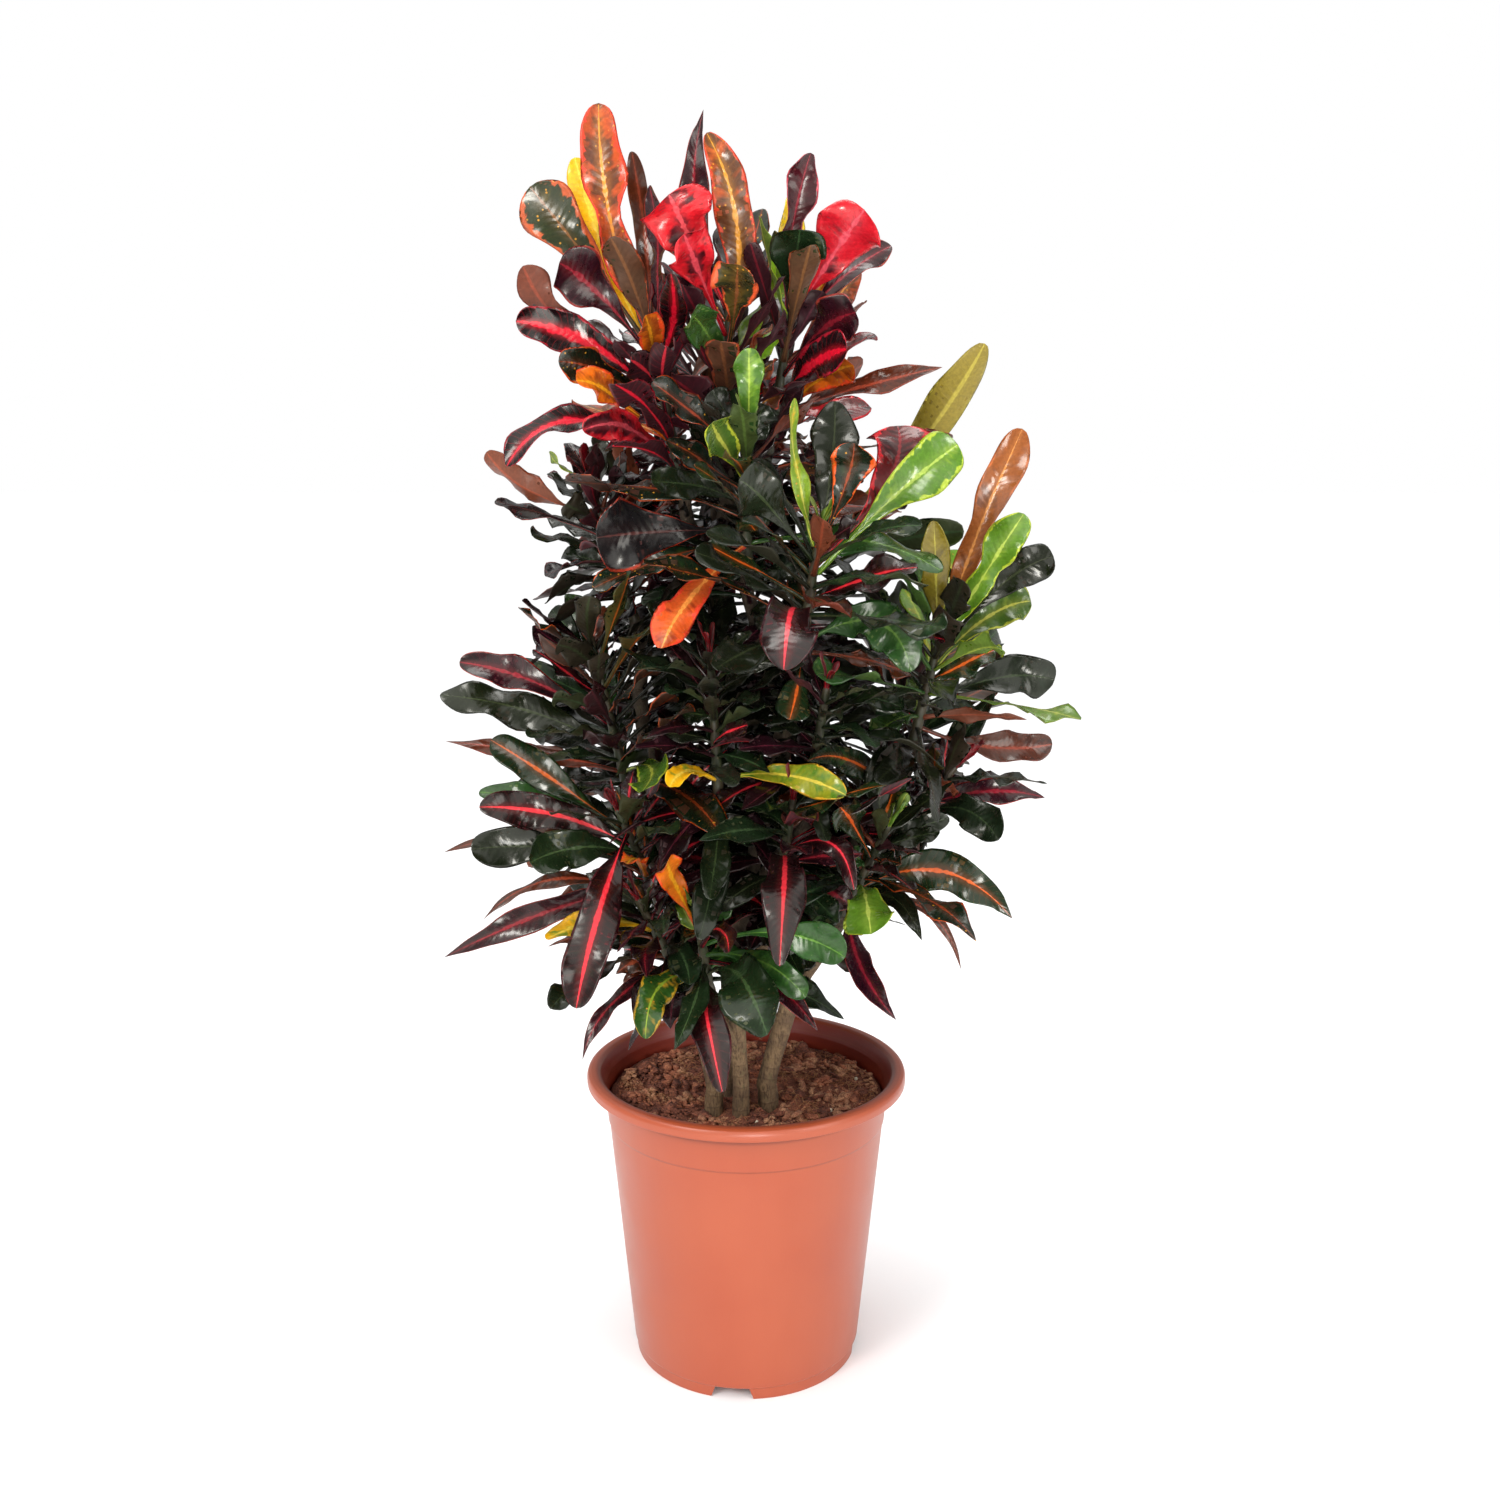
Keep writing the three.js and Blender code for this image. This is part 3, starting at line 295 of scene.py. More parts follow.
# The leaves that stand out in the front view: shoot, tip as sighted x, z, y, how far the midrib bows,
# width, outline, how far the face turns to the eye, twist in degrees, and finish
knownLeaves = [
    ("top_left", -100, 911, -45, -9, -2, 33, "waisted", 0.95, 20, "orangeBlotched"),
    ("top_left", -117, 876, 0, -4, 2, 24, "paddle", 0.8, 20, "yellow"),
    ("top_left", -148, 857, -42, -1, 4, 36, "spoon", 0.95, 0, "emberEdge"),
    ("top_left", -78, 880, -10, 2, 0, 16, "strap", 0.3, 50, "bronzeBack"),
    ("top_left", -66, 858, -40, 3, 0, 16, "strap", 0.5, 40, "maroon"),
    ("top_left", -129, 807, -72, -2, 9, 36, "spoon", 0.95, 10, "maroon"),
    ("top_left", -154, 805, -35, -11, -7, 24, "spoon", -0.6, 20, "bronzeBack"),
    ("top_left", -160, 768, -62, 0, 12, 28, "paddle", 0.85, 10, "redMidrib"),
    ("top_left", -131, 741, -85, -3, 8, 24, "paddle", 0.7, -30, "darkOrangeEdge"),
    ("top_left", -119, 728, -95, -6, 8, 22, "spoon", 0.7, 30, "orange"),
    ("top_left", -169, 669, -40, -8, 26, 22, "paddle", 0.6, 30, "redMidrib"),
    ("top_left", -115, 694, -75, -2, 14, 22, "strap", 0.8, -20, "red"),
    ("top_middle", -29, 907, -30, -14, 0, 19, "lance", 0.7, 20, "maroon"),
    ("top_middle", -27, 892, -60, 13, 0, 25, "strap", 0.95, 15, "orangeBlotched"),
    ("top_middle", -53, 852, -70, -4, 6, 46, "spoon", 0.95, 0, "red"),
    ("top_middle", -43, 826, -92, -3, 6, 32, "spoon", 0.9, 20, "red"),
    ("top_middle", -6, 806, -100, 2, 4, 30, "spoon", 0.95, -20, "emberEdge"),
    ("top_left", -52, 800, -88, 6, 0, 18, "strap", 0.8, 20, "redMidrib"),
    ("top_left", -70, 772, -96, 0, 2, 18, "paddle", 0.8, 30, "orange"),
    ("top_right", 9, 838, -40, -2, 0, 13, "strap", 0.4, 50, "yellowGreen"),
    ("top_right", 44, 879, -25, -5, 4, 24, "waisted", 0.75, 30, "pinkMargin"),
    ("top_right", 32, 852, 35, 0, 0, 18, "paddle", 0.6, 40, "yellow"),
    ("top_right", 81, 842, -70, 0, 2, 42, "spoon", 0.95, 10, "red"),
    ("top_right", 37, 829, -88, 0, 4, 36, "spoon", 0.95, -10, "darkGreen"),
    ("top_right", 100, 818, 0, 0, 8, 20, "paddle", 0.5, 20, "maroon"),
    ("top_right", 76, 774, -75, 0, 8, 34, "spoon", 0.9, 20, "maroon"),
    ("top_right", 70, 749, -98, 0, 8, 28, "paddle", 0.85, -30, "redMidrib"),
    ("top_right", 75, 738, -85, 0, 10, 24, "spoon", 0.8, 30, "orange"),
    ("top_right", 137, 737, -30, 0, 3, 20, "lance", 0.5, 60, "bronzeBack"),
    ("top_middle", -38, 772, -118, -2, 8, 24, "paddle", 0.9, 20, "green"),
    ("centre_high", 2, 750, -120, 0, 4, 18, "paddle", 0.9, 20, "freshGreen"),
    ("centre_high", -24, 699, -140, -3, 4, 25, "paddle", 0.9, 20, "limeEdge"),
    ("middle_left", -183, 679, 0, -5, -7, 24, "paddle", -0.5, 30, "bronzeBack"),
    ("middle_left", -139, 679, -30, 0, 4, 12, "strap", 0.3, 40, "yellowGreen"),
    ("centre_high", -107, 619, -125, -2, 2, 44, "spoon", 0.95, -10, "darkRedEdge"),
    ("centre_high", -67, 658, -135, 0, 5, 20, "paddle", 0.85, 20, "dark"),
    ("middle_front", -5, 660, -140, -4, 8, 36, "spoon", 0.9, 20, "dark"),
    ("middle_front", 34, 716, -110, -4, 0, 14, "strap", 0.5, 50, "yellowGreen"),
    ("middle_front", 62, 714, -90, 3, 0, 28, "paddle", 0.8, 20, "dark"),
    ("middle_front", 76, 685, -140, 4, 2, 26, "spoon", 0.9, -20, "darkOrangeEdge"),
    ("middle_front", 106, 697, -55, 18, 4, 40, "spoon", 0.95, 0, "darkRed"),
    ("middle_front", 149, 684, -105, 4, 8, 36, "spoon", 0.95, 10, "greenYellow"),
    ("middle_back", 166, 753, 40, 11, -7, 30, "paddle", -0.7, 15, "oliveBack"),
    ("right", 194, 695, -45, -3, 0, 28, "waisted", 0.7, 50, "copperBack"),
    ("right", 197, 636, -85, 2, 4, 28, "waisted", 0.85, 10, "greenYellow"),
    ("right", 219, 606, -40, 0, 12, 28, "spoon", 0.8, 20, "dark"),
    ("right", 133, 631, -75, 0, 0, 20, "strap", 0.85, 15, "oliveBack"),
    ("centre_high", -61, 540, -145, -8, 0, 24, "paddle", 0.8, 30, "redOrange"),
    ("middle_front", 27, 524, -180, -2, 24, 34, "paddle", 0.9, 10, "redLine"),
    ("middle_front", 119, 523, -135, 12, 22, 30, "strap", 0.85, 20, "green"),
    ("right", 204, 574, -20, 0, 10, 27, "paddle", 0.7, 20, "limeEdge"),
    ("right", 223, 517, -30, 4, 10, 30, "paddle", 0.8, 40, "dark"),
    ("right", 204, 488, -50, 0, 3, 13, "lance", -0.5, 30, "bronzeBack"),
    ("right", 223, 470, 0, 0, -8, 24, "paddle", 0.6, 60, "bronzeBack"),
    ("left", -207, 530, -30, 0, 8, 24, "paddle", 0.8, 30, "maroon"),
    ("left", -222, 506, -15, 0, 8, 27, "strap", 0.8, 40, "dark"),
    ("left", -219, 472, -10, 0, 3, 16, "lance", 0.5, 30, "bronzeBack"),
    ("left_low", -186, 473, -90, -2, 4, 24, "paddle", 0.8, -20, "greenOrangeMidrib"),
    ("left", -76, 435, -135, 12, 10, 27, "paddle", 0.9, 20, "limeEdge"),
    ("left_low", -196, 434, -50, 0, 11, 20, "paddle", 0.7, 20, "green"),
    ("left_low", -196, 423, -95, 0, 8, 25, "strap", 0.9, 15, "redLine"),
    ("left_low", -223, 389, -40, 0, 20, 15, "lance", 0.5, 30, "bronzeBack"),
    ("left_low", -203, 391, -80, -2, 7, 28, "spoon", 0.85, -20, "dark"),
    ("left_low", -160, 381, -130, -2, 8, 28, "paddle", 0.9, 20, "darkGreen"),
    ("left_low", -196, 337, -60, -12, 20, 11, "lance", 0.5, 30, "bronzeBack"),
    ("left_low", -226, 308, -95, -2, 6, 20, "lance", 0.85, 20, "maroon"),
    ("left_bottom", -149, 322, -130, -4, 10, 20, "strap", 0.6, 50, "yellow"),
    ("left_low", -128, 268, -150, -2, 6, 30, "strap", 0.95, 10, "redLine"),
    ("left_bottom", -124, 227, -110, -8, 8, 12, "lance", 0.6, 20, "maroon"),
    ("front_bottom", -76, 244, -165, -10, 13, 22, "strap", 0.8, 20, "yellowTipped"),
    ("front_bottom", -18, 201, -185, -6, 20, 24, "strap", 0.95, 10, "redLine"),
    ("front_bottom", 16, 247, -190, 2, 18, 37, "paddle", 0.9, 30, "darkGreen"),
    ("front_bottom", 54, 250, -160, 6, 9, 18, "lance", 0.8, 20, "maroon"),
    ("front_bottom", 45, 277, -150, 4, 8, 20, "paddle", 0.8, 20, "green"),
    ("front_right", 25, 301, -200, 2, 30, 26, "strap", 0.95, 10, "redLine"),
    ("front_bottom", 74, 308, -150, 4, 12, 26, "spoon", 0.9, 20, "green"),
    ("right_bottom", 113, 259, -130, -8, -2, 18, "lance", 0.8, 20, "maroon"),
    ("right_bottom", 93, 326, -140, 0, 12, 33, "spoon", 0.9, 10, "greenYellow"),
    ("right_bottom", 69, 423, -130, -2, 6, 24, "paddle", 0.85, -20, "greenOrangeMidrib"),
    ("right_bottom", 198, 338, -90, 4, 22, 29, "lance", 0.9, 20, "greenOrangeMidrib"),
    ("right_bottom", 131, 321, -115, 4, 14, 16, "lance", 0.7, 20, "dark"),
    ("right_bottom", 161, 298, -70, 10, 22, 9, "lance", 0.5, 20, "bronzeBack"),
    ("right_low", 219, 430, -20, 0, 8, 20, "lance", 0.7, 20, "maroon"),
    ("right_low", 186, 398, -75, 4, 14, 26, "paddle", 0.8, 20, "dark"),
    ("front_middle", 73, 432, -150, 2, 8, 20, "paddle", 0.8, 20, "yellowEdged"),
    ("front_middle", -56, 438, -135, -4, 8, 14, "strap", 0.6, 30, "yellow"),
    ("front_middle", 1, 484, -150, -2, 2, 13, "strap", 0.8, 20, "redLine"),
    ("right_low", 44, 457, -120, -4, 18, 18, "lance", 0.85, 30, "greenOrangeMidrib"),
    ("front_bottom", -58, 382, -150, -4, 4, 20, "paddle", 0.8, 20, "orange"),
    ("left_low", -88, 380, -140, 0, 8, 16, "strap", 0.7, 20, "orange"),
    ("front_right", 80, 360, -150, 6, 20, 15, "strap", 0.9, 10, "redLine"),
    ("front_bottom", -13, 312, -170, 2, 14, 15, "strap", 0.9, 10, "redLine"),
]

# how the leaves grow: the rule of the CAD part, so each of its leaves comes out in its place


def crossFrame(axis):
    north = unit(cross(axis, (1.0, 0.0, 0.0)))
    return cross(north, axis), north


def around(centre, east, north, radius, angle):
    return centre + east * (radius * math.cos(angle)) + north * (radius * math.sin(angle))


def setOut(row, number):
    name, foot, bud, habit, palette = row
    foot, bud = sighted(*foot), sighted(*bud)
    stretch = bud - foot
    reach = np.linalg.norm(stretch)
    axis = stretch / reach
    east, north = crossFrame(axis)
    tiers = math.floor(reach / core["tier"] + 0.5) - 1
    return {"name": name, "number": number, "habit": habits[habit], "slot": slots[habit], "palette": palette,
            "foot": foot, "axis": axis, "east": east, "north": north, "tiers": tiers,
            "start": foot + axis * core["gap"], "tierGap": (reach - core["gap"]) / (tiers + 1), "leaves": {}}


def corner(shoot, tier, i):
    radius = between(core["footRadius"], core["budRadius"], tier / (shoot["tiers"] + 1))
    angle = ((i % core["around"]) + 0.5 * (tier % 2)) * (2 * math.pi / core["around"])
    centre = shoot["start"] + shoot["axis"] * (tier * shoot["tierGap"])
    return around(centre, shoot["east"], shoot["north"], radius, angle)


def diamond(shoot, tier, place):
    beside = place + 1 if tier % 2 else place
    right, left = corner(shoot, tier, place + 1), corner(shoot, tier, place)
    corners = [right, corner(shoot, tier + 1, beside), left, corner(shoot, tier - 1, beside)]
    angle = (place + 0.5 + 0.5 * (tier % 2)) * (2 * math.pi / core["around"])
    out = around(np.zeros(3), shoot["east"], shoot["north"], 1, angle)
    middle = left + (right - left) * 0.5
    return {"tier": tier, "place": place, "corners": corners, "middle": middle, "out": out}


def allSpots(shoot):
    return [diamond(shoot, tier, place)
            for tier in range(1, shoot["tiers"] + 1) for place in range(core["around"])]


def framesAt(leaf, shares):
    # the midrib's places, and the ways across it and up from it, at shares of the leaf's length
    s = np.asarray(shares, float)[:, None]
    first = leaf["root"] + (leaf["bend"] - leaf["root"]) * s
    second = leaf["bend"] + (leaf["tip"] - leaf["bend"]) * s
    along = unit(second - first)
    turned = np.minimum(1, s / blade["start"])
    side = leaf["rootSide"] + (leaf["side"] - leaf["rootSide"]) * turned
    side = unit(side - (side * along).sum(1, keepdims=True) * along)
    angle = np.radians(leaf["twist"]) * (s - 0.5) * turned
    across = side * np.cos(angle) + np.cross(along, side) * np.sin(angle)
    return first + (second - first) * s, across, np.cross(along, across)


def outlineAt(leaf, b):
    base, end, waist = outlines[leaf["outline"]]
    widest = base / (base + end)
    full = (b / widest) ** base * ((1 - b) / (1 - widest)) ** end
    return full * (1 - waist * np.exp(-(((b - 0.5) / waistWidth) ** 2)))


def coarseLeaf(leaf, spare):
    # the leaf as the CAD part has it, as triangles
    b = np.array(stations[leaf["size"]])
    place, across, up = framesAt(leaf, between(petiole["share"], 1, b))
    share = outlineAt(leaf, b)
    half = np.maximum(petiole["halfWidth"], share * leaf["width"] / 2) + spare["edge"]
    bladeHalf = between(blade["halfThickness"], blade["tipHalfThickness"], b)
    opened = np.minimum(1, b / blade["start"])
    thick = between(petiole["halfThickness"], bladeHalf, opened) + spare["thickness"]
    rings = []
    for way in (1, -1):
        ripple = np.sin(2 * np.pi * (leaf["waves"] * b + leaf["phase"] + way * blade["lag"]))
        lift = share * leaf["width"] * (blade["fold"] + blade["wave"] * ripple)
        rings.append(place + across * (way * half)[:, None] + up * lift[:, None])
        rings.append(place + up * (way * thick)[:, None])
    lift = leaf["out"] * (2 * spare["root"])
    root = [at + (leaf["root"] - at) * spare["root"] + lift for at in leaf["corners"]]
    sections = np.concatenate([np.array([root]), np.stack(rings, 1)])
    faces = []
    for n, low in enumerate(sections):
        for j in range(4):
            k = (j + 1) % 4
            if n + 1 == len(sections):
                faces.append((low[j], low[k], leaf["tip"]))
                continue
            high = sections[n + 1]
            if j % 2:
                faces += [(low[j], low[k], high[j]), (low[k], high[k], high[j])]
            else:
                faces += [(low[j], low[k], high[k]), (low[j], high[k], high[j])]
    return np.array(faces)


def edgesOf(faces):
    sides = np.concatenate([faces[:, [0, 1]], faces[:, [1, 2]], faces[:, [2, 0]]])
    return sides[sides[:, 0, 0] < sides[:, 1, 0]]


def anyHit(edges, faces):
    # whether any edge passes through any triangle
    if not len(edges) or not len(faces):
        return False
    a, reach = edges[:, None, 0], edges[:, None, 1] - edges[:, None, 0]
    corner0, side1, side2 = faces[None, :, 0], faces[:, 1] - faces[:, 0], faces[:, 2] - faces[:, 0]
    normal = np.cross(side1, side2)[None]
    slope = (reach * normal).sum(2)
    away = a - corner0
    height = -(away * normal).sum(2)
    safe = np.where(slope == 0, 1e-300, slope)
    t = height / safe
    near = (slope != 0) & (t >= 0) & (t <= 1)
    if not near.any():
        return False
    e, f = np.nonzero(near)
    at = away[e, f] + reach[e, 0] * t[e, f][:, None]
    one, two = side1[f], side2[f]
    d11, d12, d22 = (one * one).sum(1), (one * two).sum(1), (two * two).sum(1)
    p1, p2 = (at * one).sum(1), (at * two).sum(1)
    below = d11 * d22 - d12 * d12
    v, w = (d22 * p1 - d12 * p2) / below, (d11 * p2 - d12 * p1) / below
    return bool(((v >= 0) & (w >= 0) & (v + w <= 1)).any())


class Thicket:
    # everything that a new leaf keeps clear of, and the box round each thing
    def __init__(self):
        self.faces, self.edges = [], []
        self.lows = self.highs = np.zeros((0, 3))

    def take(self, faces):
        self.faces.append(faces)
        self.edges.append(edgesOf(faces))
        self.lows = np.concatenate([self.lows, [faces.min((0, 1))]])
        self.highs = np.concatenate([self.highs, [faces.max((0, 1))]])

    def touches(self, faces):
        low, high = faces.min((0, 1)), faces.max((0, 1))
        beside = np.flatnonzero(((self.lows <= high) & (self.highs >= low)).all(1))
        if not len(beside):
            return False

        def close(things):
            near = np.concatenate([things[n] for n in beside])
            return near[((near.min(1) <= high) & (near.max(1) >= low)).all(1)]

        return anyHit(edgesOf(faces), close(self.faces)) or anyHit(close(self.edges), faces)


thicket = Thicket()
room = {"inside": 80, "soilTop": soil["top"] + 9, "rimTop": pot["height"] + 8}
reachBox = np.array(cadBox) * 1000 + np.array([[1.5], [-1.5]])  # kept by the added leaves


def findsRoom(faces):
    flat = faces.reshape(-1, 3)
    inside = np.hypot(flat[:, 0], flat[:, 1]) < room["inside"]
    if (flat[:, 2] < np.where(inside, room["soilTop"], room["rimTop"])).any():
        return False
    return not thicket.touches(faces)


reaches = [  # height, and how far the added leaves reach left and right in the front view
    (250, -60, 25), (270, -85, 42), (300, -105, 62), (330, -130, 92), (360, -140, 115), (400, -178, 140),
    (440, -178, 170), (480, -158, 165), (520, -188, 185), (560, -155, 185), (640, -130, 155), (670, -115, 62),
    (705, -112, 55), (740, -125, 85), (800, -125, 85), (850, -95, 50), (900, -20, 0),
]
heights, lefts, rights = zip(*reaches)
# where the known leaves' faces are looked at: shares along and across them, and how much nearer to the
# eye than such a place a leaf has to be to hide it
faceGrid = {"along": np.linspace(0.3, 0.97, 9), "across": (-0.8, -0.4, 0, 0.4, 0.8), "slack": 0.002}
shown = {"spots": np.zeros((0, 2)), "nearness": np.zeros(0)}  # those in sight, as the front view has them


def asSighted(points):
    # where points show in the front view, and how far they are from the eye
    share = (points[..., 1] - eye[1]) / -eye[1]
    return np.stack([points[..., 0] / share, eye[2] + (points[..., 2] - eye[2]) / share], -1), share


def hiddenBy(faces, spots, nearness):
    # which of the spots lie behind the faces in the front view
    flat, share = asSighted(faces)
    hidden = np.zeros(len(spots), bool)
    close = np.flatnonzero(((spots > flat.min((0, 1))) & (spots < flat.max((0, 1)))).all(1))
    side1, side2 = flat[:, 1] - flat[:, 0], flat[:, 2] - flat[:, 0]
    area = side1[:, 0] * side2[:, 1] - side1[:, 1] * side2[:, 0]
    area = np.where(area == 0, 1e-300, area)
    at = spots[close][:, None] - flat[None, :, 0]
    v = (at[..., 0] * side2[:, 1] - at[..., 1] * side2[:, 0]) / area
    w = (side1[:, 0] * at[..., 1] - side1[:, 1] * at[..., 0]) / area
    depth = share[:, 0] + v * (share[:, 1] - share[:, 0]) + w * (share[:, 2] - share[:, 0])
    inside = (v >= 0) & (w >= 0) & (v + w <= 1)
    hidden[close] = (inside & (depth < nearness[close][:, None] - faceGrid["slack"])).any(1)
    return hidden


def faceSpots(leaf):
    # places spread over the outer part of a leaf's face
    b = faceGrid["along"]
    place, across, _ = framesAt(leaf, between(petiole["share"], 1, b))
    half = outlineAt(leaf, b) * leaf["width"] / 2
    return np.concatenate([place + across * (side * half)[:, None] for side in faceGrid["across"]])


def fitsFront(faces):
    # whether an added leaf stays in the box and in the front outline, and leaves the known leaves in sight
    if ((faces < reachBox[0]) | (faces > reachBox[1])).any():
        return False
    flat = asSighted(faces.reshape(-1, 3))[0]
    left, right = np.interp(flat[:, 1], heights, lefts), np.interp(flat[:, 1], heights, rights)
    if flat[:, 1].min() < heights[0] or ((flat[:, 0] < left) | (flat[:, 0] > right)).any():
        return False
    return not hiddenBy(faces, shown["spots"], shown["nearness"]).any()


def seat(leaf, shoot, spot, spare=clearance, added=False):
    away = unit(leaf["tip"] - spot["middle"])
    level = np.array([-away[1], away[0], 0]) + cross(shoot["axis"], spot["out"])
    upward = unit(cross(away, level))
    toEye = unit(eye - spot["middle"])
    facing = upward * (1 - abs(leaf["face"])) + toEye * leaf["face"]
    if "outward" in leaf:  # an added leaf shows its face to the side that it hangs on
        outside = unit(np.array([*spot["middle"][:2], 30.0]))
        facing = upward * (1 - leaf["outward"]) + outside * leaf["outward"]
    leaf["side"] = unit(cross(facing, away))
    leaf["root"], leaf["out"] = spot["middle"], spot["out"]
    ways = [unit(at - spot["middle"]) for at in spot["corners"]]
    nearness = [float(way @ leaf["side"]) for way in ways]
    first = nearness.index(max(nearness))
    leaf["rootSide"] = ways[first]
    leaf["corners"] = [spot["corners"][(first + j) % 4] for j in range(4)]
    faces = coarseLeaf(leaf, spare)
    if (added and not fitsFront(faces)) or not findsRoom(faces):
        return False
    thicket.take(faces)
    shoot["leaves"][spot["tier"], spot["place"]] = leaf
    return True


def growKnown(row, number):
    name, x, z, y, bowX, bowZ, width, outline, face, twist, finish = row
    shoot = next(each for each in grown if each["name"] == name)
    tip = sighted(x, z, y)
    spots = [spot for spot in allSpots(shoot) if (spot["tier"], spot["place"]) not in shoot["leaves"]]

    def fit(spot):
        leaving = spot["out"] + shoot["axis"] * between(*search["lean"], spot["tier"] / shoot["tiers"])
        return float(unit(tip - spot["middle"]) @ unit(leaving))

    spots.sort(key=fit, reverse=True)
    draw = stream(search["seed"] + number)
    ripples = {"waves": between(*waves, draw()), "phase": draw()}
    for spot in spots[:search["spots"]]:
        for shift in search["shifts"]:
            bend = spot["middle"] + (tip - spot["middle"]) * 0.5 + np.array([2 * bowX, shift, 2 * bowZ])
            reach = np.linalg.norm(spot["middle"] - tip)
            isLarge = reach > search["farReach"] or twist > search["strongTwist"]
            leaf = {"tip": tip, "bend": bend, "width": width, "outline": outline, "face": face,
                    "twist": twist, "size": "large" if isLarge else "middle", "finish": finish,
                    "grade": "show", **ripples}
            if seat(leaf, shoot, spot):
                return


def drawLeaf(shoot, spot, attempt, keys, slim=1.0):
    # one try at a leaf by its shoot's habit
    habit = shoot["habit"]
    height = (spot["tier"] - 1) / (shoot["tiers"] - 1)
    draw = stream(*keys)
    shorter = (1 - towardBud["length"] * height * height) * (1 - growth["shrink"] * attempt)
    reach = habit["length"] * between(*spread["size"], draw()) * shorter
    width = habit["width"] * between(*spread["size"], draw()) * (1 - towardBud["width"] * height) * slim
    rise = between(*habit["rise"], height) + between(-spread["rise"], spread["rise"], draw())
    sway = cross(shoot["axis"], spot["out"]) * between(-spread["sway"], spread["sway"], draw())
    droop = habit["droop"] * between(*spread["droop"], draw()) * (1 - towardBud["droop"] * height)
    outline = habit["outlines"][math.floor(draw() * len(habit["outlines"]))]
    leaving = unit(spot["out"] + shoot["axis"] * (rise + spread["lift"]))
    ending = unit(leaving + sway + np.array([0, 0, -droop]))
    bend = spot["middle"] + leaving * (reach * 0.5)
    tip = bend + ending * (reach * 0.5)
    face = between(-spread["face"], spread["face"], draw())
    twist = between(-spread["twist"], spread["twist"], draw())
    ripples = {"waves": between(*waves, draw()), "phase": draw()}
    size = "middle" if width > growth["wide"] and reach > growth["long"] else "small"
    return {"tip": tip, "bend": bend, "width": width, "outline": outline, "face": face, "twist": twist,
            "size": size, "grade": "plain", "finish": None, **ripples}


def growFree(shoot, spot):
    keys = (shoot["number"], spot["tier"], spot["place"])
    if stream(*keys)() > shoot["habit"]["fill"]:
        return
    for attempt in range(growth["tries"]):
        if seat(drawLeaf(shoot, spot, attempt, (*keys, attempt)), shoot, spot):
            return


extra = {"fill": 0.97, "tries": 10, "slim": 0.9, "outward": (0.2, 0.75),
         "spare": {"thickness": 0.9, "edge": 0.5, "root": 0.12}}


def growExtra(shoot, spot):
    # finer leaves, on diamonds that the CAD part leaves bare
    keys = (shoot["number"], spot["tier"], spot["place"], streams["extra"])
    if stream(*keys)() > extra["fill"]:
        return
    for attempt in range(extra["tries"]):
        leaf = drawLeaf(shoot, spot, attempt, (*keys, attempt), extra["slim"])
        leaf["outward"] = between(*extra["outward"], stream(*keys, attempt, streams["outward"])())
        if seat(leaf, shoot, spot, extra["spare"], added=True):
            return


innerGrowth = {"above": 320, "step": 3.4, "tries": 12, "outward": (0.2, 0.8), "turn": 2.4, "sunk": 1.04,
               "rootHalves": (1.6, 2.2), "tiers": 11, "tier": 5,
               "habit": {"length": 100, "width": 22, "rise": (-0.4, 0.9), "droop": 0.9,
                         "outlines": ("paddle", "strap", "lance", "spoon")}}


def growInner(row, number):
    # narrow dark leaves straight off the woody stems, inside the crown
    leaves = {}
    twig = {"habit": innerGrowth["habit"], "number": number, "tiers": innerGrowth["tiers"], "leaves": leaves}
    for n, (course, startRadius) in enumerate(stemCourses(row)):
        length = sum(np.linalg.norm(b - a) for a, b in zip(course, course[1:]))
        count = int(length / innerGrowth["step"])
        for i in range(count):
            keys = (number, n, i)
            draw = stream(*keys)
            share = (i + draw()) / count
            at, axis = curveAt(course, share), tangentAt(course, share)
            if at[2] < innerGrowth["above"]:
                continue
            twig["axis"] = axis
            out = around(np.zeros(3), *crossFrame(axis), 1, innerGrowth["turn"] * i + draw())
            middle = at + out * (between(startRadius, core["footRadius"], share) * innerGrowth["sunk"])
            wide, high = innerGrowth["rootHalves"]
            across, upright = cross(axis, out) * wide, axis * high
            corners = [middle + across, middle + upright, middle - across, middle - upright]
            spot = {"tier": innerGrowth["tier"], "place": (n, i), "corners": corners, "middle": middle,
                    "out": out}
            for attempt in range(innerGrowth["tries"]):
                leaf = drawLeaf(twig, spot, attempt, (*keys, attempt)) | {"grade": "inner"}
                leaf["outward"] = between(*innerGrowth["outward"], draw())
                if seat(leaf, twig, spot, extra["spare"], added=True):
                    break
    return leaves


def curveAt(points, share):
    # a smooth course through points, and its place at a share of it
    last = len(points) - 1
    p = last * share
    i = min(int(math.floor(p)), last - 1)
    t = p - i
    p1, p2 = points[i], points[i + 1]
    p0 = points[i - 1] if i > 0 else 2 * p1 - p2
    p3 = points[i + 2] if i + 2 <= last else 2 * p2 - p1
    t1, t2 = 0.5 * (p2 - p0), 0.5 * (p3 - p1)
    return p1 + t1 * t + (3 * (p2 - p1) - 2 * t1 - t2) * t ** 2 + (2 * (p1 - p2) + t1 + t2) * t ** 3


def tangentAt(points, share):
    return unit(curveAt(points, min(1, share + 0.0001)) - curveAt(points, max(0, share - 0.0001)))


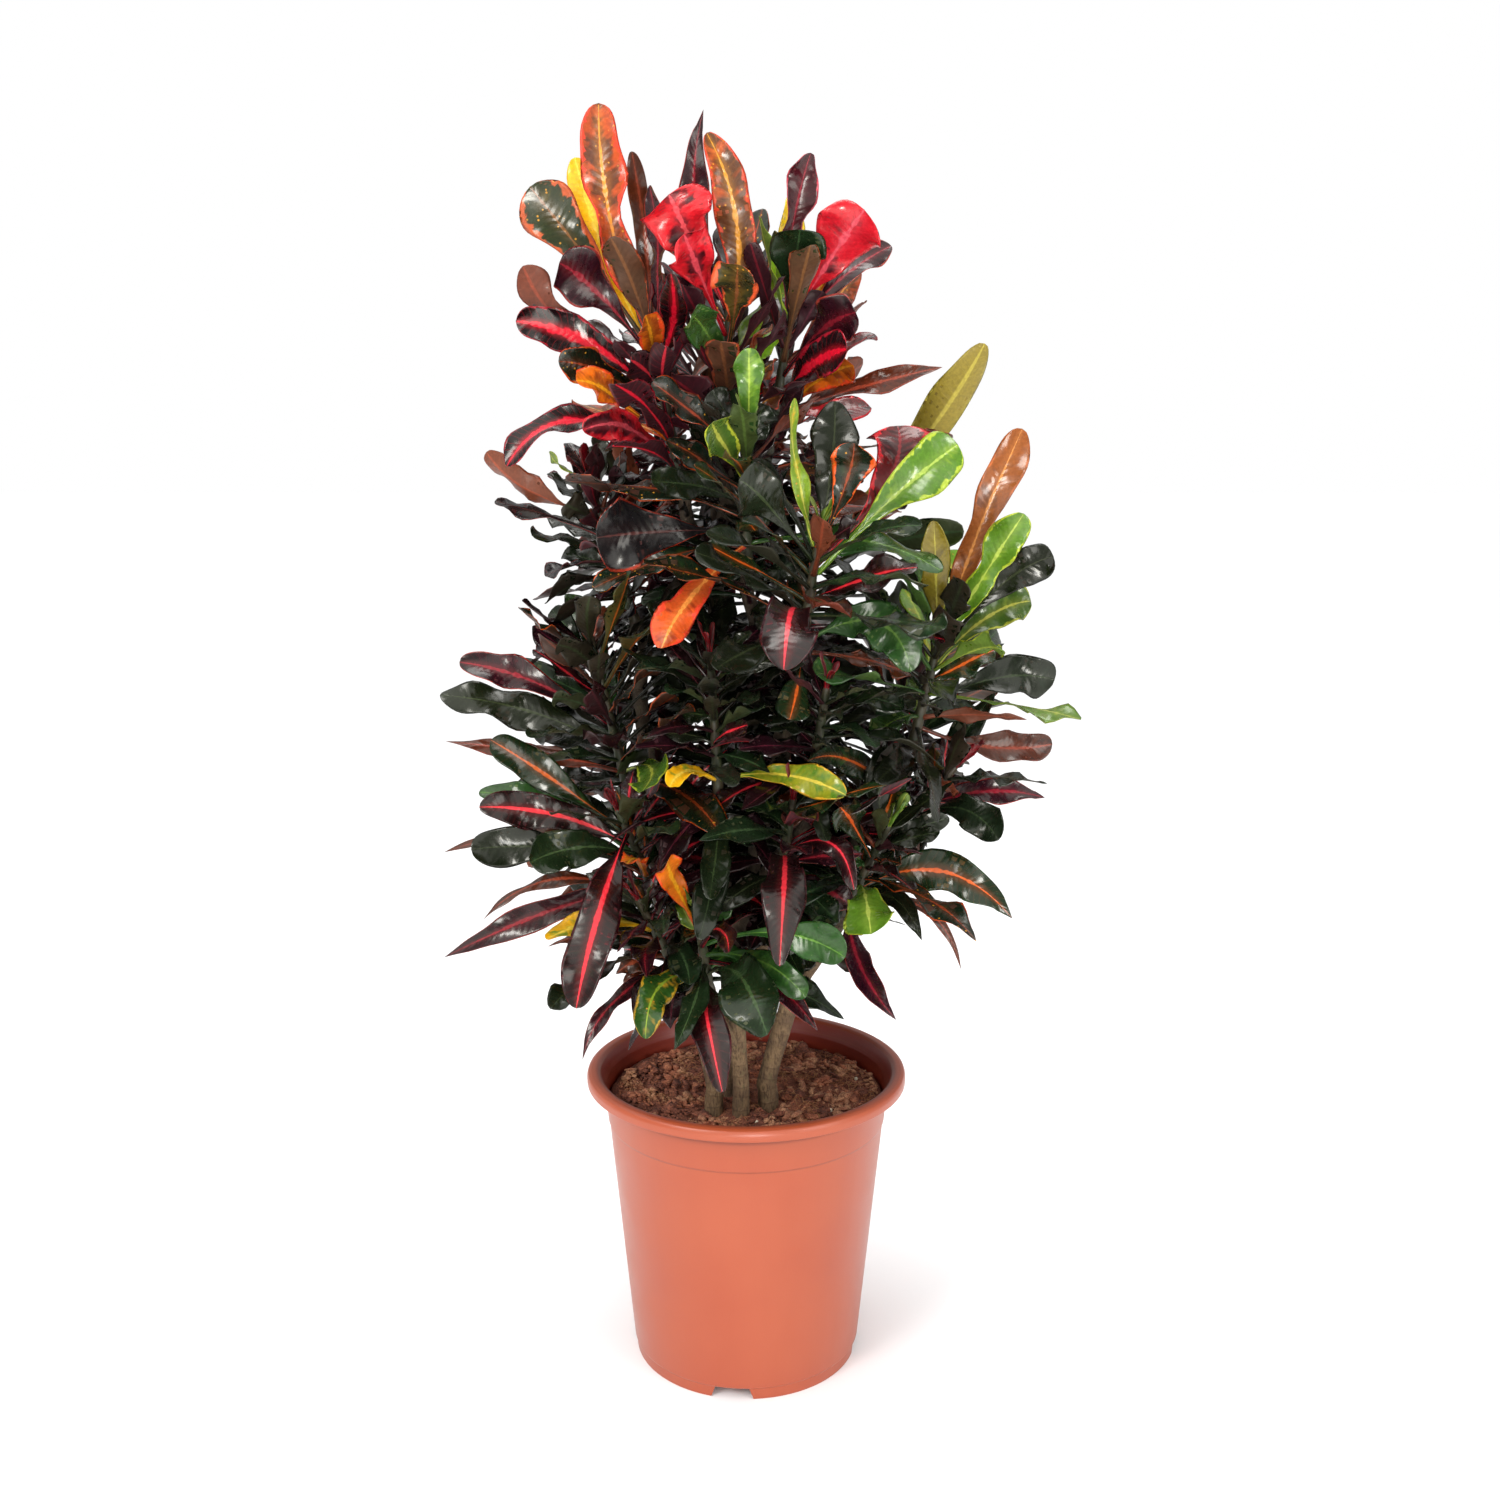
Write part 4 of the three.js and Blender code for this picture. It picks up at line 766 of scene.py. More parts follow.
def coarseTube(points, startRadius, endRadius, sides, steps):
    rings, mids = [], []
    for step in range(steps + 1):
        share = step / steps
        mid, (east, north) = curveAt(points, share), crossFrame(tangentAt(points, share))
        radius = between(startRadius, endRadius, share)
        turns = [2 * math.pi * i / sides for i in range(sides)]
        rings.append([around(mid, east, north, radius, math.pi / 2 - turn) for turn in turns])
        mids.append(mid)
    faces = []
    for low, high in zip(rings, rings[1:]):
        for i in range(sides):
            k = (i + 1) % sides
            faces += [(low[i], high[i], low[k]), (high[i], high[k], low[k])]
    for mid, ring in ((mids[0], rings[0]), (mids[-1], rings[-1])):
        faces += [(mid, ring[i], ring[(i + 1) % sides]) for i in range(sides)]
    return np.array(faces)


def stemCourses(row):
    # the trunk's course and those of its branches, each with its start radius
    name, stand, points, radius, shootName, branches = row

    def end(which):
        shoot = next(each for each in grown if each["name"] == which)
        return shoot["foot"] - shoot["axis"] * wood["lead"], shoot["foot"]

    upright = [np.array([*stand, soil["top"] + rise], float) for rise in (-wood["deep"], 4, 24)]
    trunk = upright + [np.array(at, float) for at in points] + list(end(shootName))
    courses = [(trunk, radius)]
    for which, share in branches:
        start = curveAt(trunk, share)
        before, foot = end(which)
        leaving = unit(tangentAt(trunk, share) + unit(before - start))
        second = start + leaving * (np.linalg.norm(before - start) * branch["bend"])
        startRadius = min(between(radius, core["footRadius"], share) * branch["taper"], branch["widest"])
        courses.append(([start, second, before, foot], startRadius))
    return courses


def bareCore(shoot):
    head = shoot["tiers"] + 1
    bud = shoot["start"] + shoot["axis"] * (head * shoot["tierGap"] + core["cap"])
    faces = []
    for spot in allSpots(shoot):
        right, top, left, bottom = spot["corners"]
        faces += [(left, right, top), (right, left, bottom)]
    for i in range(core["around"]):
        left, right = corner(shoot, 0, i), corner(shoot, 0, i + 1)
        highLeft, highRight = corner(shoot, head, i), corner(shoot, head, i + 1)
        below = corner(shoot, head - 1, i + 1 if head % 2 else i)
        faces += [(left, right, corner(shoot, 1, i)), (right, left, shoot["start"])]
        faces += [(highLeft, highRight, bud), (highRight, highLeft, below)]
    return np.array(faces)


grown = [setOut(row, number) for number, row in enumerate(shoots)]
for row in stems:
    for n, (course, startRadius) in enumerate(stemCourses(row)):
        sides, steps = (wood["branchSides"], wood["branchSteps"]) if n else (wood["sides"], wood["steps"])
        thicket.take(coarseTube(course, startRadius, core["footRadius"], sides, steps))
for shoot in grown:
    thicket.take(bareCore(shoot))
for number, row in enumerate(knownLeaves):
    growKnown(row, number)


def growTier(grow):
    for tier in range(1, max(shoot["tiers"] for shoot in grown) + 1):
        for shoot in grown:
            for spot in allSpots(shoot):
                if spot["tier"] == tier and (tier, spot["place"]) not in shoot["leaves"]:
                    grow(shoot, spot)


growTier(growFree)
cadLeaves = sum(len(shoot["leaves"]) for shoot in grown)
print(f"leaves of the CAD part: {cadLeaves}", flush=True)
everyLeaf = [leaf for shoot in grown for leaf in shoot["leaves"].values()]
owners = [n for n, leaf in enumerate(everyLeaf) if leaf["grade"] == "show"]
spots, nearness = asSighted(np.array([faceSpots(everyLeaf[n]) for n in owners]))
owner = np.repeat(owners, spots.shape[1])
spots, nearness = spots.reshape(-1, 2), nearness.ravel()
hidden = np.zeros(len(spots), bool)
for n, leaf in enumerate(everyLeaf):
    hidden |= hiddenBy(coarseLeaf(leaf, extra["spare"]), spots, nearness) & (owner != n)
shown.update(spots=spots[~hidden], nearness=nearness[~hidden])
print(f"spots of the known leaves in sight: {(~hidden).sum()} of {len(hidden)}", flush=True)
growTier(growExtra)
innerLeaves = [growInner(row, streams["inner"] + number) for number, row in enumerate(stems)]
counted = sum(len(shoot["leaves"]) for shoot in grown), sum(len(leaves) for leaves in innerLeaves)
print(f"leaves on shoots: {counted[0]}, on the stems: {counted[1]}", flush=True)

# leaf finishes: face, midrib, margin, blotch and back colours, then the coloured midrib's
# width, how far its colour feathers out, how broad the coloured margin is, how much of the face is
# blotched, and how strong the thin line along the very edge is

finishes = {
    "orangeBlotched": ("a4481e", "cc8a30", "c84028", "54301a", "7c3c24", 0.06, 0.24, 0.19, 0.34, 0.5),
    "orange": ("cc6416", "e0981e", "d8461c", "8a3c12", "a04a24", 0.08, 0.3, 0.16, 0.26, 0.6),
    "yellow": ("e0ac14", "ead048", "e6bc2c", "6a8a24", "b09030", 0.10, 0.4, 0.12, 0.20, 0.4),
    "yellowGreen": ("6c901c", "bcc44c", "a8b02c", "c0a820", "64783a", 0.06, 0.25, 0.12, 0.2, 0.5),
    "greenYellow": ("4c6c1a", "9aa646", "a0a82a", "86961e", "5c7030", 0.06, 0.22, 0.14, 0.18, 0.6),
    "redOrange": ("c04a1c", "e08a3c", "d43c24", "8a2c14", "a04a24", 0.08, 0.3, 0.2, 0.26, 0.6),
    "yellowEdged": ("8c8c20", "d8bc44", "dca02c", "54781f", "b09030", 0.08, 0.2, 0.16, 0.28, 0.6),
    "yellowTipped": ("28461a", "8c9c34", "a87c20", "c08c2a", "4a5c2a", 0.05, 0.12, 0.12, 0.17, 0.4),
    "limeEdge": ("3e6220", "a8b848", "9cb030", "5c7c24", "64783a", 0.06, 0.18, 0.16, 0.2, 0.6),
    "freshGreen": ("3a5c1e", "8ca040", "5a7828", "64842a", "4a5c2a", 0.06, 0.15, 0.08, 0.2, 0.3),
    "emberEdge": ("2a2c18", "7c4a2a", "c4502c", "4c401c", "5c3424", 0.05, 0.2, 0.22, 0.2, 0.8),
    "pinkMargin": ("340e16", "7c2430", "c84858", "18080c", "4a141a", 0.05, 0.2, 0.12, 0.2, 0.8),
    "redLine": ("1a0a0c", "dc2c3a", "4a1820", "1c1c14", "36141c", 0.10, 0.10, 0.06, 0.15, 0.25),
    "wineDark": ("1c0a0e", "54202a", "4a1c20", "12080a", "34141a", 0.04, 0.15, 0.05, 0.2, 0.3),
    "copperBack": ("80451e", "b8763a", "a05428", "5c3018", "8a4c24", 0.05, 0.2, 0.10, 0.25, 0.3),
    "green": ("26441c", "5c7c34", "2c5222", "3c6026", "4a5c2a", 0.045, 0.12, 0.05, 0.18, 0.15),
    "darkGreen": ("12200f", "34482a", "182c18", "1c321c", "363a20", 0.045, 0.15, 0.05, 0.16, 0.12),
    "greenOrangeMidrib": ("13240f", "c8581c", "20401a", "244a1e", "4a3e1c", 0.065, 0.14, 0.05, 0.16, 0.25),
    "dark": ("12180c", "2c341e", "121a10", "161e12", "2a2218", 0.04, 0.12, 0.04, 0.14, 0.12),
    "darkOrangeEdge": ("0e1c10", "8a3a1c", "d8541c", "1e3418", "44261a", 0.05, 0.18, 0.12, 0.16, 0.95),
    "darkRedEdge": ("141012", "4a2422", "b83a26", "1e1a16", "44201f", 0.04, 0.1, 0.05, 0.2, 0.8),
    "darkRed": ("600a12", "7c101a", "cc1c28", "20080a", "4a141a", 0.05, 0.2, 0.19, 0.22, 0.7),
    "maroon": ("240a12", "7c1a26", "a8382c", "12070b", "3a141c", 0.06, 0.28, 0.05, 0.2, 0.7),
    "red": ("d01c28", "e4505a", "e02a34", "3c0812", "8a1c26", 0.06, 0.3, 0.30, 0.24, 0.5),
    "redMidrib": ("16080c", "dc142e", "a0182a", "1c1a12", "36141c", 0.14, 0.42, 0.14, 0.15, 0.6),
    "bronzeBack": ("48200f", "8a3c26", "7c3420", "2c1812", "6c3422", 0.07, 0.35, 0.10, 0.25, 0.35),
    "oliveBack": ("76681e", "a49a3a", "8c842c", "5f521e", "7c7024", 0.05, 0.15, 0.10, 0.25, 0.35),
}
dotted = ("orangeBlotched", "orange", "darkOrangeEdge", "emberEdge", "yellowTipped", "yellowGreen")
palettes = {  # what the other leaves of a shoot are, by how often
    "wine": {"maroon": 6, "wineDark": 5, "redMidrib": 2, "redLine": 2, "emberEdge": 2, "darkRed": 2,
             "bronzeBack": 2, "orangeBlotched": 1, "orange": 1},
    "flame": {"maroon": 4, "wineDark": 3, "redLine": 2, "emberEdge": 2, "orangeBlotched": 3, "red": 1,
              "yellowGreen": 1, "darkOrangeEdge": 1},
    "night": {"dark": 7, "wineDark": 3, "darkRedEdge": 3, "maroon": 3, "bronzeBack": 2, "darkGreen": 1},
    "forest": {"dark": 7, "darkGreen": 4, "darkOrangeEdge": 3, "greenOrangeMidrib": 2, "green": 1,
               "bronzeBack": 2, "redLine": 1, "wineDark": 2},
    "meadow": {"darkGreen": 3, "green": 3, "greenYellow": 2, "yellowGreen": 1, "dark": 4,
               "greenOrangeMidrib": 1},
    "dusk": {"maroon": 4, "redLine": 3, "dark": 5, "darkGreen": 2, "greenOrangeMidrib": 2, "bronzeBack": 2,
             "wineDark": 2},
    "shade": {"dark": 7, "wineDark": 3, "darkGreen": 3, "redLine": 1},
}


def pickFinish(shoot, key):
    words = [word for word, often in palettes[shoot["palette"]].items() for _ in range(often)]
    return words[math.floor(stream(shoot["number"], *key, streams["finish"])() * len(words))]


painted = ("face", "rib", "edge", "blotch", "back")
gloss = {"face": (0.17, 0.31), "back": (0.40, 0.54), "faceCoat": 0.18, "backCoat": 0.0}
veins = {"sweep": 0.8, "lean": 1.5, "stray": 1.6, "line": (0.38, 0.5)}


def leafMaterial(name, back):
    material, shader, place = newMaterial(
        name, Specular_IOR_Level=0.42, Specular_Tint=(0.88, 0.85, 0.76, 1), Coat_Roughness=0.1,
        Coat_Weight=gloss["backCoat" if back else "faceCoat"])
    tree = place.tree

    def layer(name, output):
        return add(tree, "Attribute", output=output, attribute_name=name)

    colours = {word: layer(f"{word}Colour", "Color") for word in painted}
    feather, ribWidth, marginWidth, blotched, lineStrength = (
        layer(f"{word}Colour", "Alpha") for word in painted)
    side, along, _ = parts(layer("leafPlace", "Vector"))
    veinCount, spread, tone = parts(layer("leafTraits", "Vector"))
    across = abs(side)
    cloud, grain = noise(place, 55, 3), noise(place, 420, 2)
    # side veins leave the midrib and bend towards the tip
    phase = along * veinCount - across ** veins["sweep"] * veins["lean"] + cloud * veins["stray"]
    swing = abs(phase.math("FRACT") - 0.5)
    fineVein = ramp(swing, *veins["line"])
    # colours run out along the side veins in uneven streaks
    streak = add(tree, "CombineXYZ", side * 0.7, phase, spread * 40.0)
    jag = noise(streak, 0.8, 2, 0.5)
    jagged = ramp(jag, 0.3, 0.72)
    # the coloured midrib, feathered along the side veins, with a soft glow beside it
    reach = (ribWidth + feather * 0.5 * jagged) * ramp(along, 0.4, 1.05, 1.0, 0.3)
    rib = ramp(across / reach, 1.2, 0.7)
    glow = ramp(across, 0.5, 0.0) * (feather * 0.9)
    vein = fineVein * (feather * 0.25)
    margin = ramp(across + marginWidth * (jagged * 1.5 + 0.35), 0.98, 1.06)
    edge = larger(margin, ramp(across, 0.90, 0.97) * lineStrength)
    if back:
        colour = mixed(cloud * 0.5, colours["back"], colours["face"])
        colour = mixed(fineVein * 0.12, colour, colours["rib"])
        colour = mixed(edge * 0.5, colour, colours["edge"])
        colour = mixed(ramp(across, 0.14, 0.06) * 0.8, colour, colours["rib"])
    else:
        patchy = cloud * 0.6 + jag * 0.4 + (0.5 - across) * 0.12
        colour = mixed(ramp(patchy + blotched, 0.74, 0.86), colours["face"], colours["blotch"])
        colour = mixed(edge, colour, colours["edge"])
        colour = mixed(larger(glow, vein), colour, colours["rib"])
        colour = mixed(rib, colour, colours["rib"])
        fromDot = add(tree, "TexVoronoi", place, None, 190, output="Distance")
        dot = ramp(fromDot, 0.17, 0.09) * layer("leafTraits", "Alpha")
        colour = mixed(dot * 0.7, colour, paint("d8962c"))
    shade = ramp(grain, 0.2, 0.8, 0.82, 1.12)
    # tone holds each leaf's own tone, and the painted shade of the leaves inside the crown
    add(tree, "HueSaturation", None, None, shade * tone, None, colour).feed(shader, "Base Color")
    ramp(cloud, 0.25, 0.75, *gloss["back" if back else "face"]).feed(shader, "Roughness")
    # the blade swells a little between its side veins
    quilt = (0.5 - swing) * (1.0 - across)
    bump(shader, grain * 0.10 + cloud * 0.25 + quilt * (-0.4 if back else 0.45), 0.55, 0.0012)
    return material


leafFace = leafMaterial("leafFace", False)
leafBack = leafMaterial("leafBack", True)

grades = {  # how fine a leaf's skin is, with its stations across from one edge over the face to the other
    "show": {"rows": 22, "lobes": (0.06, 0.17), "curl": 3,
             "across": (1, 0.86, 0.55, 0.16, 0, -0.16, -0.55, -0.86, -1)},
    "plain": {"rows": 14, "lobes": (0.04, 0.13), "curl": 1.5, "across": (1, 0.8, 0.3, 0, -0.3, -0.8, -1)},
    "inner": {"rows": 9, "lobes": (0.04, 0.13), "curl": 1, "across": (1, 0.6, 0, -0.6, -1)},
    "tiny": {"rows": 6, "lobes": (0.02, 0.05), "curl": 1, "across": (1, 0.5, 0, -0.5, -1)},
}
skin = {"petioleRows": (-0.136, -0.13, -0.07), "crowding": 1.6, "flare": 0.35, "lobeTurns": (1.3, 2.6),
        "lobedFrom": 0.3, "narrowsFrom": 0.9, "narrowing": 10, "thinsFrom": 0.85, "opens": 0.14,
        "rim": 0.34, "keelWidth": 1.5, "faceKeel": 0.45, "cup": (-0.18, 0.12), "wave": 1.4,
        "frills": (3.6, 5.2), "frill": (0.02, 0.075), "frillLag": 0.4, "curlsFrom": 0.4, "sunk": 1.6}
bends = {"fold": 1.4, "wave": 1.8, "frill": 2.6}  # how steeply each rises from the midrib to the edge
weld = 2e-6


def rollGrid(bm, place, points, places):
    # a grid of skin over rows of points, with what each point tells the material
    rows, columns = points.shape[:2]
    grid = bmesh.ops.create_grid(bm, x_segments=columns - 1, y_segments=rows - 1, size=1.0)["verts"]
    for vert, at, tells in zip(grid, (points * mm).reshape(-1, 3), places):
        vert.co = at
        vert[place] = tells
    return grid


def leafSkin(bm, leaf, place, number):
    # a grid rolled round the leaf: petiole, blade with its fold, waves and keel, and closed ends
    grade = grades[leaf["grade"]]
    face = np.array(grade["across"])
    u = np.concatenate([face, face[::-1][1:]])
    isBack = np.arange(len(u)) >= len(face)
    t = np.linspace(0, 1, grade["rows"] + 1)
    b = np.concatenate([skin["petioleRows"], 1 - (1 - t) ** skin["crowding"]])
    middle, across, up = framesAt(leaf, np.maximum(0, between(petiole["share"], 1, b)))
    inBlade = np.clip(b, 0, 1)
    share = np.where(b > 0, outlineAt(leaf, inBlade), 0)
    neck = petiole["halfWidth"] * (1 + skin["flare"] * np.clip(b / skin["petioleRows"][0], 0, 1) ** 2)
    neck = neck * np.where(b > skin["narrowsFrom"], (1 - inBlade) * skin["narrowing"], 1)
    half = np.where(b > 0.999, 0, np.maximum(neck, share * leaf["width"] / 2))
    draw = stream(int(leaf["phase"] * 1e6), streams["outline"])
    lobes = []  # each side's own slow swell of the outline
    for _ in range(2):
        swell, turns, start = between(*grade["lobes"], draw()), between(*skin["lobeTurns"], draw()), draw()
        lobes.append(1 + swell * np.sin(2 * np.pi * (turns * inBlade + start)))
    wide = half[:, None] * np.where(u[None, :] > 0, lobes[0][:, None], lobes[1][:, None])
    wide = np.where(share[:, None] > skin["lobedFrom"], wide, half[:, None])
    bladeHalf = between(blade["halfThickness"], blade["tipHalfThickness"], inBlade)
    thick = between(petiole["halfThickness"], bladeHalf, np.minimum(1, inBlade / blade["start"]))
    thinning = np.sqrt((1 - inBlade) / (1 - skin["thinsFrom"]))
    thick = thick * np.where(inBlade > skin["thinsFrom"], thinning, 1)
    opened = np.clip(inBlade / skin["opens"], 0, 1)[:, None]
    uu, bb = u[None, :], inBlade[:, None]
    keel = skin["rim"] + (1 - skin["rim"]) * np.exp(-((uu * wide / skin["keelWidth"]) ** 2))
    keel = np.where(np.abs(uu) > 0.999, 0, keel)
    profile = between(np.sqrt(np.maximum(0, 1 - uu ** 2)), keel, opened) * thick[:, None]
    offset = np.where(isBack, -profile, profile * between(1, skin["faceKeel"], opened))
    way, fromRib = np.sign(uu), np.abs(uu)
    ripple = np.sin(2 * np.pi * (leaf["waves"] * bb + leaf["phase"] + way * blade["lag"]))
    cup = between(*skin["cup"], draw()) * np.sin(np.pi * bb)
    frills, start, lag = between(*skin["frills"], draw()), draw(), between(0, skin["frillLag"], draw())
    frill = np.sin(2 * np.pi * (frills * bb + start + way * lag))
    lift = (blade["fold"] + cup) * fromRib ** bends["fold"]
    lift = lift + skin["wave"] * blade["wave"] * ripple * fromRib ** bends["wave"]
    lift = lift + between(*skin["frill"], draw()) * frill * fromRib ** bends["frill"]
    lift = lift * (share * leaf["width"])[:, None] + offset
    curling = np.clip((b - skin["curlsFrom"]) / (1 - skin["curlsFrom"]), 0, 1)
    lift = lift + grade["curl"] * between(-1, 1, draw()) * np.sin(np.pi * curling)[:, None]
    points = middle[:, None] + across[:, None] * (uu * wide)[..., None] + up[:, None] * lift[..., None]
    points[0] = leaf["root"] - leaf["out"] * skin["sunk"]
    points[-1] = leaf["tip"]
    points = np.clip(points, *(np.array(cadBox) / mm))
    grid = rollGrid(bm, place, points, [(x, y, number) for y in b for x in u])
    for n, vert in enumerate(grid):
        if isBack[n % len(u)]:
            for part in vert.link_faces:
                part.material_index = 1
    bmesh.ops.remove_doubles(bm, verts=grid, dist=weld)


# green shoots and woody stems, as skins rolled round a course

bark = {"shootSides": 10, "sides": (18, 12), "steps": (90, 26), "youngFrom": (0.28, 0.36),
        "swells": (0.025, 55, 7), "ribs": (0.03, 3, 9)}
coreShape = {"slim": 0.86, "swell": 0.07, "sunk": 2, "cap": ((1.6, 0.75), (2.6, 0.4), (3.0, 0))}


def barkSkin(bm, places, radii, sides, place, index):
    # a grid rolled round the course; the ring nearest each end closes to a point
    tangents = unit(np.gradient(places, axis=0))
    east = crossFrame(tangents[0])[0]
    turn = np.linspace(0, 2 * math.pi, sides + 1)
    points = []
    for centre, tangent, radius in zip(places, tangents, radii):
        east = unit(east - tangent * (east @ tangent))
        north = cross(tangent, east)
        ring = np.outer(np.cos(turn), east) + np.outer(np.sin(turn), north)
        points.append(centre + (radius[:, None] if np.ndim(radius) else radius) * ring)
    length = np.concatenate([[0], np.cumsum(np.linalg.norm(np.diff(places, axis=0), axis=1))])
    tells = [(n / sides, far / 10, -1) for far in length for n in range(sides + 1)]
    grid = rollGrid(bm, place, np.array(points), tells)
    for part in {part for vert in grid for part in vert.link_faces}:
        part.material_index = index
    bmesh.ops.remove_doubles(bm, verts=grid, dist=weld)


def coreSkin(bm, shoot, place):
    # the green core, a little swollen at each tier, from inside the branch to a rounded end
    length = (shoot["tiers"] + 1) * shoot["tierGap"] + core["gap"]
    share = np.linspace(0, 1, 4 * shoot["tiers"])
    radius = between(core["footRadius"], core["budRadius"], share) * coreShape["slim"]
    radius = radius * (1 + coreShape["swell"] * np.sin(2 * math.pi * share * (shoot["tiers"] + 1)))
    rises, closing = zip(*coreShape["cap"])
    start = shoot["foot"] - shoot["axis"] * coreShape["sunk"]
    places = shoot["foot"] + shoot["axis"] * (share * length)[:, None]
    tips = [shoot["foot"] + shoot["axis"] * (length + rise) for rise in rises]
    places = np.concatenate([[start, start + shoot["axis"] * 0.01], places, tips])
    radii = np.concatenate([[0, core["footRadius"] * 0.9], radius, radius[-1] * np.array(closing)])
    barkSkin(bm, places, radii, bark["shootSides"], place, 2)


def shootMaterial():
    material, shader, place = newMaterial("greenShoot", Roughness=0.5)
    colour = mixed(ramp(noise(place, 90, 3), 0.35, 0.65), paint("2a3018"), paint("3c3222"))
    colour = mixed(ramp(noise(place, 500, 2), 0.62, 0.75), colour, paint("5c5238"))
    colour.feed(shader, "Base Color")
    bump(shader, noise(place, 500, 3), 0.4, 0.0006)
    return material


def barkMaterial():
    material, shader, place = newMaterial("stemBark", Roughness=0.82)
    cloud = noise(place, 60, 4, 0.6)
    # fine cracks along the stem, and rings of old leaf scars
    cracks = noise(stretched(place, (1.0, 1.0, 0.22)), 900, 4, 0.65)
    course = parts(add(place.tree, "Attribute", output="Vector", attribute_name="leafPlace"))[1]
    ring = ramp(abs((course * 1.1 + cloud * 0.9).math("FRACT") - 0.5), 0.38, 0.5)
    colour = mixed(ramp(cloud, 0.35, 0.65), paint("604a34"), paint("846a4a"))
    young = ramp(parts(place)[2], *bark["youngFrom"], 0.0, 0.8)
    colour = mixed(young, colour, paint("38332a"))  # the wood above is dark: partly younger wood, partly painted shade inside the crown
    colour = mixed(ramp(cracks, 0.56, 0.36, 0.0, 0.75), colour, paint("3c2b1c"))
    colour = mixed(ring * 0.3, colour, paint("4a3624"))
    colour = mixed(ramp(noise(place, 180, 2), 0.6, 0.72, 0.0, 0.25), colour, paint("5e6038"))
    colour.feed(shader, "Base Color")
    bump(shader, cracks + ring * 0.3, 0.9, 0.0012)
    return material


greenShoot = shootMaterial()
stemBark = barkMaterial()


# innerShade darkens the leaves inside the crown: painted shade
variety = {"hue": 0.12, "ribWidth": (0.8, 1.25), "margin": (0.5, 1.3), "blotched": 0.06, "tone": (0.8, 1.2),
           "plainEdge": 0.5, "veinGap": 6.2, "innerShade": 0.6}
youngLeaf = {"count": 3, "reach": (16, 30), "width": (4.5, 7.5), "spread": (0.1, 0.45), "twist": 30}


def setLeafPaint(piece, leaves, number, tone=1.0):
    # the colours and traits of each leaf, spread over its points
    place = np.zeros(len(piece.data.vertices) * 3, np.float32)
    piece.data.attributes["leafPlace"].data.foreach_get("vector", place)
    which = place.reshape(-1, 3)[:, 2].astype(int)
    rows = []
    for n, leaf in enumerate(leaves):
        *codes, ribWidth, feather, margin, blotched, line = finishes[leaf["finish"]]
        draw = stream(number, n, streams["paint"])
        length = np.linalg.norm(leaf["bend"] - leaf["root"]) + np.linalg.norm(leaf["tip"] - leaf["bend"])
        shift = [between(-variety["hue"], variety["hue"], draw()) for _ in range(3)]
        colours = [[max(0, c * (1 + d)) for c, d in zip(paint(code), shift)] for code in codes]
        edging = 1 if leaf["grade"] == "show" else variety["plainEdge"]
        amounts = (feather, ribWidth * between(*variety["ribWidth"], draw()),
                   edging * margin * between(*variety["margin"], draw()),
                   blotched + between(-variety["blotched"], variety["blotched"], draw()), edging * line)
        traits = [length / variety["veinGap"], draw(), tone * between(*variety["tone"], draw()),
                  leaf["finish"] in dotted]
        rows.append([[*colour, amount] for colour, amount in zip(colours, amounts)] + [traits])
    rows.append([[0.1] * 4] * 6)
    table = np.array(rows, np.float32)[which]
    for n, word in enumerate([*(f"{word}Colour" for word in painted), "leafTraits"]):
        layer = piece.data.attributes.new(word, "FLOAT_COLOR", "POINT")
        layer.data.foreach_set("color", np.ascontiguousarray(table[:, n]).ravel())


def budLeaves(shoot):
    # three small young leaves that stand up round the bud
    leaves = []
    axis = shoot["axis"]
    top = shoot["foot"] + axis * ((shoot["tiers"] + 1) * shoot["tierGap"] + 1.5)
    for n in range(youngLeaf["count"]):
        draw = stream(shoot["number"], n, streams["bud"])
        angle = 2 * math.pi * (n / youngLeaf["count"] + 0.2 * draw())
        out = around(np.zeros(3), shoot["east"], shoot["north"], 1, angle)
        reach = between(*youngLeaf["reach"], draw())
        bend = top + (axis * 0.55 + out * 0.12) * reach
        tip = top + (axis + out * between(*youngLeaf["spread"], draw())) * reach
        side = unit(cross(out, axis))
        leaves.append({"root": top, "out": axis, "bend": bend, "tip": tip, "side": side, "rootSide": side,
                       "width": between(*youngLeaf["width"], draw()), "outline": "paddle",
                       "twist": between(-youngLeaf["twist"], youngLeaf["twist"], draw()),
                       "waves": 1.0, "phase": draw(), "grade": "tiny",
                       "finish": "greenYellow" if shoot["palette"] in ("meadow", "forest") else "darkRed"})
    return leaves


def startSkin():
    bm = bmesh.new()
    return bm, bm.verts.layers.float_vector.new("leafPlace")


def leafyPiece(name, twig, found, slot, nodes=(), tone=1.0):
    # the leaves of a shoot with its core and young leaves, or those of a woody stem
    bm, place = startSkin()
    isShoot = "foot" in twig
    leaves = [leaf | {"finish": leaf["finish"] or pickFinish(twig, key if isShoot else key[1])}
              for key, leaf in found.items()] + (budLeaves(twig) if isShoot else [])
    for n, leaf in enumerate(leaves):
        leafSkin(bm, leaf, place, n)
    if isShoot:
        coreSkin(bm, twig, place)
        for vert in bm.verts:
            if vert[place][2] < 0:
                vert[place][2] = len(leaves)
    piece = pieceFrom(bm, name, leafMaterials if isShoot else leafMaterials[:2], slot, nodes)
    setLeafPaint(piece, leaves, twig["number"], tone)
    return sum(len(part.vertices) - 2 for part in piece.data.polygons)


leafMaterials = [leafFace, leafBack, greenShoot]
skins = 0
for shoot in grown:
    name = shoot["name"]
    skins += leafyPiece(f"leaves_{name}", shoot, shoot["leaves"], shoot["slot"], [f"shoot_{name}"])
for number, (row, found) in enumerate(zip(stems, innerLeaves)):
    twig = {"number": streams["inner"] + number, "palette": "shade"}
    # the leaves inside the crown are painted darker, as painted shade
    skins += leafyPiece(f"inner_{row[0]}", twig, found, "leaves_inner", tone=variety["innerShade"])
print(f"leafy pieces done, {skins} triangles", flush=True)

